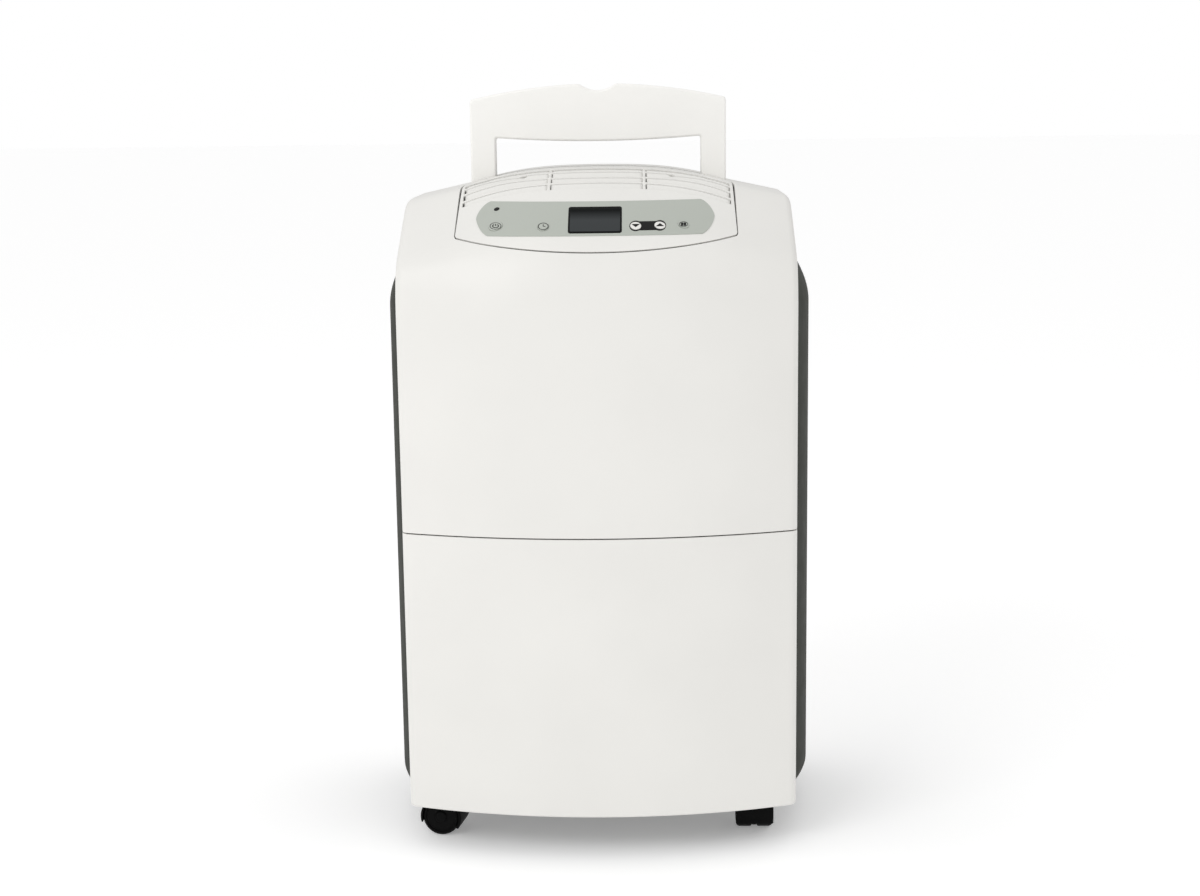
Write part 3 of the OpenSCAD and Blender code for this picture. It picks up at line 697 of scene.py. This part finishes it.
def tapered(x, y):
    """Draws the insert's side edges in towards the rear, so that their seams widen there."""
    margin = 6 * MM
    inner = INSERT_HALF - margin
    pull = SIDE_TAPER * np.clip((y - FRONT_Y - 30 * MM) / (90 * MM), 0, 1)
    size = np.abs(x)
    return np.sign(x) * np.where(size > inner, inner + (size - inner) * (1 - pull / margin), size)


def insert_row(x, y):
    """Line of points of the insert's surface over the plan positions (x, y)."""
    x = tapered(x, y)
    return np.stack([x, y, top_at(x, y)], axis=-1)


def control_insert():
    """The insert: control slope, side rails and rear strip around the grille."""
    half = INSERT_HALF
    steps = 60
    xs = [-half + 2 * half * i / steps for i in range(steps + 1)]
    for x in [BAY_X] + [half - step for step in SEAM_STEPS]:
        xs += [x, -x]
    xs = np.array(sorted(set(round(x, 7) for x in xs)))
    first = slot_edge(0, xs)
    last = slot_edge(SLOTS, xs) - BAR_W
    rows = 44
    turn = 0.35
    z0 = seam_z(xs) + GAP
    z_turn = z0 + (top_at(xs, first) - z0) * turn
    y_turn = front_at(xs, z_turn)
    slope = []
    for i in range(rows + 1):
        t = i / rows
        if t < turn:
            z = z0 + (z_turn - z0) * t / turn
            x = tapered(xs, front_at(xs, z))
            slope.append(np.stack([x, front_at(x, z), z], axis=-1))
        else:
            slope.append(insert_row(xs, y_turn + (first - y_turn) * (t - turn) / (1 - turn)))
    patches = [np.array(slope)]
    for side in (-1, 1):
        rail = xs[side * xs >= BAY_X - TINY]
        y0, y1 = slot_edge(0, rail), slot_edge(SLOTS, rail) - BAR_W
        patches.append(np.array([insert_row(rail, y0 + (y1 - y0) * i / 30) for i in range(31)]))
    rear = INSERT_HIGH.y - GAP
    patches.append(np.array([insert_row(xs, last + (rear - last) * i / 10) for i in range(11)]))
    mesh = weld("control_insert", patches, (0, 0, 0.5))
    obj = add_object("control_insert", mesh, WHITE, "cabinet", ["top_panel"])
    thicken(obj, 2.2 * MM, 0.5 * MM)


def swept_bar(path, width, depth, round_r):
    """A bar with a rounded top whose top line follows path; its width runs along Y."""
    section = [(-width / 2 * 0.7, -depth)]
    for i in range(7):
        a = math.pi * (1 - i / 6)
        section.append((width / 2 * math.cos(a), round_r * math.sin(a) - round_r))
    section += [(width / 2 * 0.7, -depth), section[0]]
    return [[(x, y + dy, z + dz) for x, y, z in path] for dy, dz in section]


def blade(x0, x1, k):
    """Louvre blade of the k-th slot from x0 to x1, sloping down under the bar ahead of it."""
    xs = np.linspace(x0, x1, 25)
    y_front = slot_edge(k, xs) - 0.8 * MM
    y_rear = slot_edge(k + 1, xs) - BAR_W
    top = top_at(xs, y_rear) - 0.9 * MM
    fall = 8.5 * MM
    thick = 1.1 * MM
    upper, lower = [], []
    for i in range(7):
        t = i / 6
        y = y_rear + (y_front - y_rear) * t
        z = top - fall * t**1.2
        upper.append(list(np.stack([xs, y, z], axis=-1)))
        lower.append(list(np.stack([xs, y, z - thick], axis=-1)))
    loop = upper + lower[::-1] + [upper[0]]
    ends = [[[row[i] for row in upper], [row[i] for row in lower]] for i in (0, -1)]
    return [loop] + ends


def grille_bars():
    """Arched bars and two thin ribs between the slots, with a louvre blade in every slot."""
    span = BAY_X + 2 * MM
    xs = np.linspace(-span, span, 73)
    pieces = []
    for k in range(1, SLOTS):
        y = slot_edge(k, xs) - BAR_W / 2
        path = np.stack([xs, y, top_at(xs, y) - 0.1 * MM], axis=-1)
        pieces.append(swept_bar(path, BAR_W, 3.4 * MM, 1.3 * MM))
    rib = RIB_HALF
    section = [(-rib, -12 * MM), (-rib, -0.6 * MM), (-rib * 0.6, 0), (rib * 0.6, 0)]
    section += [(rib, -0.6 * MM), (rib, -12 * MM), (-rib, -12 * MM)]
    for x in (-RIB_X, RIB_X):
        ys = np.linspace(float(slot_edge(0, x)) - 2 * MM, float(slot_edge(SLOTS, x)), 24)
        z = top_at(np.full(ys.shape, x), ys) - 0.5 * MM
        pieces.append([[(x + dx, y, zz + dz) for y, zz in zip(ys, z)] for dx, dz in section])
    for x0, x1 in ((-BAY_X, -RIB_X), (-RIB_X, RIB_X), (RIB_X, BAY_X)):
        for k in range(SLOTS):
            pieces += blade(x0 + BLADE_GAP_LEFT, x1 - BLADE_GAP_RIGHT, k)
    mesh = weld("grille_slats", pieces)
    add_object("grille_slats", mesh, WHITE, "cabinet", ["top_panel"])


def insert_seam_painted_shade():
    """Dark strip under the seam all round the control insert: painted shade, standing for the shadow down in
    the seam's gap.
    """
    depth = SHELL_T + 0.3 * MM
    reach = 3 * MM
    xs = np.linspace(-INSERT_HALF - reach, INSERT_HALF + reach, 61)
    cols = [(x, depth) for x in xs]
    patches = [front_grid(cols, lambda x: seam_z(x) - reach, lambda x: seam_z(x) + reach, 2)]
    rear = INSERT_HIGH.y
    patches.append(top_grid(cols, rear - reach, rear + reach, 2))
    for side in (-1, 1):
        strip = [(side * INSERT_HALF + reach * k, depth) for k in (-1, 0, 1)]
        start = patches[0][1][0 if side < 0 else -1][1]
        patches.append(top_grid(strip, start, rear, 40))
    mesh = weld("insert_seam_painted_shade", patches, (0, 0, 0.5))
    obj = add_object("insert_seam_painted_shade", mesh, RUBBER_AND_PAINTED_SHADE, "cabinet", ())
    thicken(obj, 0.6 * MM, 0)


def overlay():
    """Grey film over the controls, with pointed-round ends and holes for the buttons."""
    rows = 30
    cols = 120
    grid = []
    for i in range(rows + 1):
        t = 0.5 - 0.5 * math.cos(math.pi * i / rows)
        reach = OVERLAY_STRAIGHT + OVERLAY_TIP * (1 - abs(2 * t - 1) ** POINTED) ** (1 / POINTED)
        xs = OVERLAY_MIDDLE + np.linspace(-reach, reach, cols + 1)
        z = np.full(xs.shape, OVERLAY_LOW.z + (OVERLAY_HIGH.z - OVERLAY_LOW.z) * t)
        grid.append(np.stack([xs, front_at(xs, z, -0.5 * MM), z], axis=-1))
    mesh = weld("overlay_film", [grid], (0, 0, 0.5))
    obj = add_object("overlay_film", mesh, FILM, "cabinet", ["panel_overlay"])
    thicken(obj, 0.45 * MM, 0)
    for key, (x, radius) in BUTTONS.items():
        drill(obj, surface_frame(x, BUTTON_Z, -HOLE_DEEP), radius + 0.3 * MM, HOLE_LENGTH, "hole_" + key)
    paint(obj.data, FILM)
    obj.data.shade_smooth()
    round_edges(obj, 0.15 * MM, 2, 50)


def upright(m, u, v):
    """Local point on a sloping frame m that looks like (u, v) straight from the front."""
    lean = m[2][1]
    det = m[0][0] * lean - m[0][1] * m[2][0]
    return (u * lean - m[0][1] * v * lean) / det, (m[0][0] * v * lean - m[2][0] * u) / det


def stroke(path, width):
    """Outline of a polyline with some width, for printed symbols."""
    left, right = [], []
    for i, (x, y) in enumerate(path):
        a = Vector(path[max(i - 1, 0)])
        b = Vector(path[min(i + 1, len(path) - 1)])
        d = (b - a).normalized()
        left.append((x - d.y * width / 2, y + d.x * width / 2))
        right.append((x + d.y * width / 2, y - d.x * width / 2))
    return [[(x, y, 0) for x, y in left], [(x, y, 0) for x, y in right]]


def arc(radius, a0, a1, n=20, centre=(0, 0)):
    """Points of an arc between two angles in degrees."""
    out = []
    for i in range(n + 1):
        a = math.radians(a0 + (a1 - a0) * i / n)
        out.append((centre[0] + radius * math.cos(a), centre[1] + radius * math.sin(a)))
    return out


def symbol(key, r):
    """Printed pictogram of a button, as strokes."""
    w = 0.9 * MM
    if key == "power":
        ring = stroke(arc(0.8 * r, 0, 360, 48), 0.7 * w)
        return [ring, stroke(arc(0.42 * r, 125, 415), 1.1 * w), stroke([(0, 0.05 * r), (0, 0.45 * r)], w)]
    if key == "timer":
        hands = [(0.0, 0.5 * r), (0.0, 0.0), (0.4 * r, -0.1 * r)]
        return [stroke(arc(0.86 * r, 0, 360, 48), 0.8 * w), stroke(hands, 0.8 * w)]
    if key in ("down", "up"):
        s = 1 if key == "up" else -1
        rows = []
        for i in range(7):
            t = i / 6
            half = 0.78 * r * (1 - t) + TINY
            y = s * (-0.38 * r + 0.85 * r * t)
            rows.append([(-half, y, 0), (half, y, 0)])
        return [rows]
    out = [stroke(arc(0.76 * r, 0, 360, 36), 0.6 * w)]
    for k in range(4):
        a = math.radians(90 * k + 45)
        centre = (0.36 * r * math.cos(a), 0.36 * r * math.sin(a))
        out.append(stroke(arc(0.14 * r, 0, 360, 16, centre), 1.5 * w))
    return out


def controls():
    """Button caps with printed rings and symbols, the arrows' black band and the lamp."""
    for key, (x, radius) in BUTTONS.items():
        node = "button_" + key
        body = key + "_button"
        m = surface_frame(x, BUTTON_Z)
        profile = rounded_profile(radius, -5 * MM, 1.15 * MM, 0.5 * MM)
        cap = weld(node + "_cap", [lathe(profile)], (0, 0, -2 * MM))
        material = WHITE if key in ("up", "down") else FILM
        add_object(node + "_cap", placed(cap, m), material, body, [node])
        prints = []
        for grid in symbol(key, radius):
            prints.append([[(*upright(m, u, v), 1.2 * MM) for u, v, _ in row] for row in grid])
        ink = placed(weld(node + "_print", prints), m)
        obj = add_object(node + "_print", ink, PRINT, body, (), smooth=False)
        coat = obj.modifiers.new("ink", "SOLIDIFY")
        coat.thickness = 0.1 * MM
        coat.offset = 0
    arrow_band()
    lens = weld("status_lamp", [lathe(rounded_profile(LAMP_R, -1 * MM, 1.0 * MM, 0.4 * MM), 24)], (0, 0, 0))
    lens = placed(lens, surface_frame(*LAMP_AT))
    add_object("status_lamp", lens, PRINT, "cabinet", ["status_led"])


def arrow_band():
    """Black pill under the two arrow buttons."""
    down_x, cap_r = BUTTONS["down"]
    up_x, _ = BUTTONS["up"]
    big = cap_r + 0.8 * MM
    waist = 5 * MM
    x0, x1 = down_x - big, up_x + big
    steps = 60
    rows = []
    for i in range(steps + 1):
        x = x0 + (x1 - x0) * i / steps
        x = min(max(x, x0 + 0.02 * MM), x1 - 0.02 * MM)
        d = min(abs(x - down_x), abs(x - up_x))
        h = math.sqrt(max(big**2 - d**2, 0))
        if down_x < x < up_x:
            h = max(h, waist)
        zs = BUTTON_Z + PILL_RISE + np.linspace(-h, h, 13) * PILL_SQUASH
        xs = np.full(zs.shape, x)
        rows.append(np.stack([xs, front_at(xs, zs, -0.62 * MM), zs], axis=-1))
    mesh = weld("arrow_pill", [rows], (0, 0, 0.5))
    obj = add_object("arrow_pill", mesh, PRINT, "cabinet", ["arrow_band"])
    thicken(obj, 0.12 * MM, 0)
    for x in (down_x, up_x):
        drill(obj, surface_frame(x, BUTTON_Z, -HOLE_DEEP), cap_r + 0.25 * MM, HOLE_LENGTH, "pill_hole")
    paint(obj.data, PRINT)


def display():
    """Black-framed display: a bezel around a slightly sunken dark glass."""
    x0, x1 = WINDOW_LOW.x, WINDOW_HIGH.x
    z0, z1 = WINDOW_LOW.z, WINDOW_HIGH.z
    frame_w = 1.6 * MM

    def panel(name, grow, lift, radius, material):
        """Rounded plate over the window, larger by grow and lifted off the surface."""
        rows = []
        for i in range(25):
            z = z0 - grow + (z1 - z0 + 2 * grow) * i / 24
            edge = min(z - (z0 - grow), z1 + grow - z)
            trim = radius - math.sqrt(max(radius**2 - max(radius - edge, 0) ** 2, 0))
            xs = np.linspace(x0 - grow + trim, x1 + grow - trim, 41)
            zs = np.full(xs.shape, z)
            rows.append(np.stack([xs, front_at(xs, zs, -lift), zs], axis=-1))
        mesh = weld(name, [rows], (0, 0, 0.5))
        obj = add_object(name, mesh, material, "cabinet", ["display_window"])
        thicken(obj, 0.3 * MM, 0.1 * MM, 2)

    panel("display_bezel", 0.0, 0.75 * MM, 1.6 * MM, BLACK)
    panel("display_glass", -frame_w, 0.88 * MM, 0.6 * MM, LCD_WITH_PAINTED_REFLECTION)


# ---------------------------------------------------------------- handle


def handle_plate():
    """Flat pull-up handle: arched bar with a finger notch, two arms, soft edges."""
    half = HANDLE_HIGH.x - 4 * MM
    inner_half = half - 25 * MM
    foot = HANDLE_LOW.z
    crest = HANDLE_HIGH.z + 0.35 * MM
    arch_r = 549 * MM
    notch_half, notch_r, notch_rise = 18 * MM, 29 * MM, 22.5 * MM
    grip_z = crest - 56 * MM
    grip_r = 1250 * MM
    outer_corner, inner_corner = 3 * MM, 2.5 * MM

    def eased(x, end, corner):
        """How far a rounded corner draws a horizontal edge down near its end."""
        over = max(abs(x) - (end - corner), 0)
        return corner - math.sqrt(max(corner**2 - over**2, 0))

    def upper(x):
        z = crest - arch_r + math.sqrt(arch_r**2 - x * x)
        if abs(x) < notch_half:
            z = min(z, crest + notch_rise - math.sqrt(notch_r**2 - x * x))
        return z - eased(x, half, outer_corner)

    def lower(x):
        z = grip_z + grip_r - math.sqrt(grip_r**2 - x * x)
        return z - eased(x, inner_half, inner_corner)

    arm_steps = 24
    bar_steps = 150
    z_out, z_in = upper(half), lower(inner_half)
    rise = [i / arm_steps for i in range(arm_steps)]
    outer = [(-half, foot + (z_out - foot) * t) for t in rise]
    inner = [(-inner_half, foot + (z_in - foot) * t) for t in rise]
    for i in range(bar_steps + 1):
        s = 0.5 * math.sin(math.pi * (i / bar_steps - 0.5)) + 0.5 * (2 * i / bar_steps - 1)
        outer.append((half * s, upper(half * s)))
        inner.append((inner_half * s, lower(inner_half * s)))
    outer += [(half, foot + (z_out - foot) * t) for t in reversed(rise)]
    inner += [(inner_half, foot + (z_in - foot) * t) for t in reversed(rise)]
    grid = []
    for k in range(7):
        t = k / 6
        pairs = zip(outer, inner)
        grid.append([(xo + (xi - xo) * t, HANDLE_LOW.y, zo + (zi - zo) * t) for (xo, zo), (xi, zi) in pairs])
    mesh = weld("handle_plate", [grid], (0, 1, 0.6))
    obj = add_object("handle_plate", mesh, WHITE_HANDLE, "carry_handle", ["handle"])
    thicken(obj, HANDLE_HIGH.y - HANDLE_LOW.y, 2.6 * MM, 5, 50)


# ---------------------------------------------------------------- casters


def caster_turn(key):
    """Frame of a caster at rest: its swivel axis at the origin and its trail along +X."""
    joints = {joint["name"]: joint for joint in frame["joints"]}
    pivot = Vector(joints["caster_%s_swivel" % key]["pos_m"])
    axle = Vector(joints["caster_%s_roll" % key]["pos_m"])
    trail = Vector((axle.x - pivot.x, axle.y - pivot.y, 0))
    turn = Matrix.Rotation(math.atan2(trail.y, trail.x), 4, "Z")
    return Matrix.Translation((pivot.x, pivot.y, 0)) @ turn, trail.length, axle.z


def caster_hood(key):
    """Dome over both wheels with a web between them and a round neck; its front lip hangs lower."""
    turn, reach, axle_z = caster_turn(key)
    hood_r = WHEEL_R + 2 * MM
    side = CASTER_HALF + 0.6 * MM
    behind, ahead = math.radians(-16), math.radians(212)
    rim = [(-side, -2.4 * MM), (-side, -1.0 * MM), (-side + 1.0 * MM, 0.0)]
    rim += [(side - 1.0 * MM, 0.0), (side, -1.0 * MM), (side, -2.4 * MM)]
    rim += [(side - 1.2 * MM, -1.4 * MM), (-side + 1.2 * MM, -1.4 * MM), rim[0]]
    dome = []
    for y, dr in rim:
        arc_r = hood_r + dr
        angles = [behind + (ahead - behind) * i / 40 for i in range(41)]
        dome.append([(reach + arc_r * math.cos(a), y, axle_z + arc_r * math.sin(a)) for a in angles])
    outline = []
    for i in range(73):
        a = behind + 2 * math.pi * i / 72
        r = hood_r - 1 * MM if a <= ahead else WHEEL_R - 1.3 * MM
        outline.append((reach + r * math.cos(a), axle_z + r * math.sin(a)))
    half = CASTER_WEB / 2
    web = [[(reach, -half, axle_z)] * len(outline)]
    web += [[(x, y, z) for x, z in outline] for y in (-half, half)]
    web.append([(reach, half, axle_z)] * len(outline))
    neck_steps = [(0, 0), (11, 0), (11.5, 0.5), (11.5, 8), (4.6, 9), (3.9, 9.2), (3.9, 22), (0, 22)]
    neck = lathe([(max(r, 0.001) * MM, NECK_Z + h * MM) for r, h in neck_steps], 36)
    mesh = weld("caster_%s_hood" % key, [dome, web, neck])
    fork, body = "caster_%s_fork" % key, "caster_" + key
    obj = add_object("caster_%s_hood" % key, placed(mesh, turn), BLACK, body, [fork])
    round_edges(obj, 0.4 * MM, 2, 40)


def caster_tyres(key):
    """The two solid wheels, with rounded treads, a dished face and a hub cap."""
    turn, reach, axle_z = caster_turn(key)
    w0 = CASTER_WEB / 2 + 0.4 * MM
    w1 = CASTER_HALF
    r = WHEEL_R
    profile = [(2.5 * MM, w0), (r - 1.6 * MM, w0), (r - 0.5 * MM, w0 + 0.5 * MM), (r, w0 + 1.8 * MM)]
    profile += [(r, w1 - 3.4 * MM), (r - 0.6 * MM, w1 - 1.5 * MM), (r - 1.9 * MM, w1 - 0.35 * MM)]
    profile += [(r - 3.2 * MM, w1), (r - 4.4 * MM, w1 - 1.6 * MM), (6.2 * MM, w1 - 1.9 * MM)]
    profile += [(5.2 * MM, w1 - 0.6 * MM), (TINY, w1 - 0.4 * MM)]
    ring = lathe(profile, 56)
    pair = [[[(reach + x, s * h, axle_z + y) for x, y, h in row] for row in ring] for s in (-1, 1)]
    mesh = weld("caster_%s_tyres" % key, pair)
    wheels, body = "caster_%s_wheels" % key, "caster_%s_rollers" % key
    obj = add_object("caster_%s_tyres" % key, placed(mesh, turn), NYLON, body, [wheels])
    round_edges(obj, 0.25 * MM, 2, 35)


# ---------------------------------------------------------------- rear details


def intake_panel():
    """Pull-off intake grille: soft frame with slanted louvres."""
    x0, x1 = GRILLE_LOW.x, GRILLE_HIGH.x
    z0, z1 = GRILLE_LOW.z, GRILLE_HIGH.z
    y0, y1 = GRILLE_LOW.y, GRILLE_HIGH.y
    border = 15 * MM
    overlap = 1 * MM
    rib_half = 1.5 * MM

    def ring(shrink):
        """Corners of the frame in rear view, drawn in by shrink."""
        a0, a1, b0, b1 = x0 + shrink, x1 - shrink, z0 + shrink, z1 - shrink
        return [(a0, b0), (a1, b0), (a1, b1), (a0, b1), (a0, b0)]

    loops = ((0, y0), (0, y1), (border, y1), (border, y0), (0, y0))
    mesh = weld("intake_frame", [[[(x, y, z) for x, z in ring(shrink)] for shrink, y in loops]])
    obj = add_object("intake_frame", mesh, WHITE, "dust_filter", ["intake_grille"])
    round_edges(obj, 1.2 * MM, 4, 40)
    bars = []
    count = 17
    pitch = (z1 - z0 - 2 * border) / count
    ends = (x0 + border - overlap, x1 - border + overlap)
    for i in range(1, count):
        z = z0 + border + pitch * i
        section = [(y0 + 0.6 * MM, z + 3.4 * MM), (y0 + 1.4 * MM, z + 4.2 * MM)]
        section += [(y1 - 1.0 * MM, z - 0.8 * MM), (y1 - 1.8 * MM, z - 2.4 * MM), section[0]]
        bars.append([[(x, y, h) for x in ends] for y, h in section])
    ends = (z0 + border - overlap, z1 - border + overlap)
    for middle in (-56 * MM, 0.0, 56 * MM):
        left, right = middle - rib_half, middle + rib_half
        front, back = y0 + 0.5 * MM, y1 - 2.2 * MM
        section = [(left, front), (right, front), (right, back), (left, back), (left, front)]
        bars.append([[(x, y, z) for z in ends] for x, y in section])
    mesh = weld("intake_louvres", bars)
    add_object("intake_louvres", mesh, WHITE, "dust_filter", ["intake_grille"], smooth=False)


# ---------------------------------------------------------------- carried-over CAD nodes

NODE_LOOKS = {
    "base_pan": SIDE_GREY,
    "lcd_module": INNER,
    "control_board": BOARD,
    "handle_guides": INNER,
    "bay_cheeks": WHITE,
    "bucket": CLEAR_GREY,
    "bucket_lid": INNER,
    "float_arm": INNER,
    "float_block": INNER,
    "bay_wall": INNER,
    "mid_deck": INNER,
    "reed_switch": BLACK,
    "compressor": ENAMEL,
    "compressor_feet": RUBBER_AND_PAINTED_SHADE,
    "accumulator": ENAMEL,
    "evaporator": ALUMINIUM,
    "condenser": ALUMINIUM,
    "refrigerant_pipes": COPPER,
    "filter_drier": COPPER,
    "fan_scroll": INNER,
    "fan_wheel": FAN,
    "fan_shaft": STEEL,
    "fan_motor": STEEL,
    "motor_bracket": STEEL,
    "run_capacitor": INNER,
    "main_board": BOARD,
    "humidity_sensor": WHITE,
    "filter_mesh": FILTER_NET,
    "drain_spigot": BLACK,
    "cord_gland": BLACK,
    "cabinet_screws": STEEL,
}
for axle_key in CASTERS:
    NODE_LOOKS["caster_%s_axle" % axle_key] = STEEL


def dress_nodes():
    """Paints the CAD nodes that are shown as they are."""
    for name, material in NODE_LOOKS.items():
        paint(frame["nodes"][name].data, material)


# ---------------------------------------------------------------- camera, floor and light

EYE = Vector((0.04393, -1.88645, 0.7116))
AHEAD = Vector((-0.02333, 0.98351, -0.17785))
UP = Vector((0.00881, 0.17823, 0.98395))
LENS = 58.22
SENSOR = 36
FLOOR_HALF = 30
FLOOR_GLOW = 0.24
SKY_STRENGTH = 0.98
KEY_AT = (-1.7, -2.2, 2.3)
KEY_AIM = (0, 0, 0.4)
KEY_SIZE = (1.8, 1.4)
KEY_POWER = 26


def camera():
    """The camera, in front and about level with the top of the raised handle."""
    cam = bpy.data.cameras.new("camera")
    cam.sensor_width = SENSOR
    cam.lens = LENS
    cam.clip_end = 100
    obj = bpy.data.objects.new("camera", cam)
    scene.collection.objects.link(obj)
    ahead = AHEAD.normalized()
    right = ahead.cross(UP).normalized()
    m = Matrix((right, right.cross(ahead), -ahead)).transposed().to_4x4()
    m.translation = EYE
    obj.matrix_world = m
    scene.camera = obj


def studio():
    """White sweep: a backdrop that the camera sees as white, a pale floor and one broad key."""
    floor_mesh = bpy.data.meshes.new("floor")
    far = FLOOR_HALF
    corners = [(-far, -far, 0), (far, -far, 0), (far, far, 0), (-far, far, 0)]
    floor_mesh.from_pydata(corners, [], [(0, 1, 2, 3)])
    floor = bpy.data.objects.new("floor", floor_mesh)
    scene.collection.objects.link(floor)
    m, tree, shader = new_material("floor_paper", (0.88, 0.88, 0.88), 0.9, 0.1)
    shader.inputs["Emission Color"].default_value = (1, 1, 1, 1)
    shader.inputs["Emission Strength"].default_value = FLOOR_GLOW
    floor_mesh.materials.append(m)

    world = bpy.data.worlds.new("studio")
    scene.world = world
    world.use_nodes = True
    tree = world.node_tree
    back = tree.nodes["Background"]
    coord = tree.nodes.new("ShaderNodeTexCoord")
    split = tree.nodes.new("ShaderNodeSeparateXYZ")
    ramp = tree.nodes.new("ShaderNodeValToRGB")
    ramp.color_ramp.elements[0].position = 0.25
    ramp.color_ramp.elements[0].color = (0.66, 0.66, 0.66, 1)
    ramp.color_ramp.elements[1].position = 0.95
    ramp.color_ramp.elements[1].color = (1.0, 1.0, 1.0, 1)
    tree.links.new(coord.outputs["Generated"], split.inputs["Vector"])
    tree.links.new(split.outputs["Z"], ramp.inputs["Fac"])
    tree.links.new(ramp.outputs["Color"], back.inputs["Color"])
    back.inputs["Strength"].default_value = SKY_STRENGTH
    seen = tree.nodes.new("ShaderNodeLightPath")
    backdrop = tree.nodes.new("ShaderNodeBackground")
    backdrop.inputs["Color"].default_value = (1, 1, 1, 1)
    mix = tree.nodes.new("ShaderNodeMixShader")
    tree.links.new(seen.outputs["Is Camera Ray"], mix.inputs[0])
    tree.links.new(back.outputs["Background"], mix.inputs[1])
    tree.links.new(backdrop.outputs["Background"], mix.inputs[2])
    tree.links.new(mix.outputs["Shader"], tree.nodes["World Output"].inputs["Surface"])

    light = bpy.data.lights.new("key", "AREA")
    light.shape = "RECTANGLE"
    light.size, light.size_y = KEY_SIZE
    light.energy = KEY_POWER
    key = bpy.data.objects.new("key", light)
    scene.collection.objects.link(key)
    key.location = KEY_AT
    key.rotation_euler = (Vector(KEY_AIM) - Vector(KEY_AT)).to_track_quat("-Z", "Y").to_euler()
    scene.view_settings.view_transform = "Standard"


# ---------------------------------------------------------------- build

camera()
studio()
dress_nodes()
upper_cover()
lower_front()
rear_shell()
side_panel("side_panel_left_skin", -1)
side_panel("side_panel_right_skin", 1)
control_insert()
grille_bars()
insert_seam_painted_shade()
overlay()
controls()
display()
handle_plate()
for caster_key in CASTERS:
    caster_hood(caster_key)
    caster_tyres(caster_key)
intake_panel()
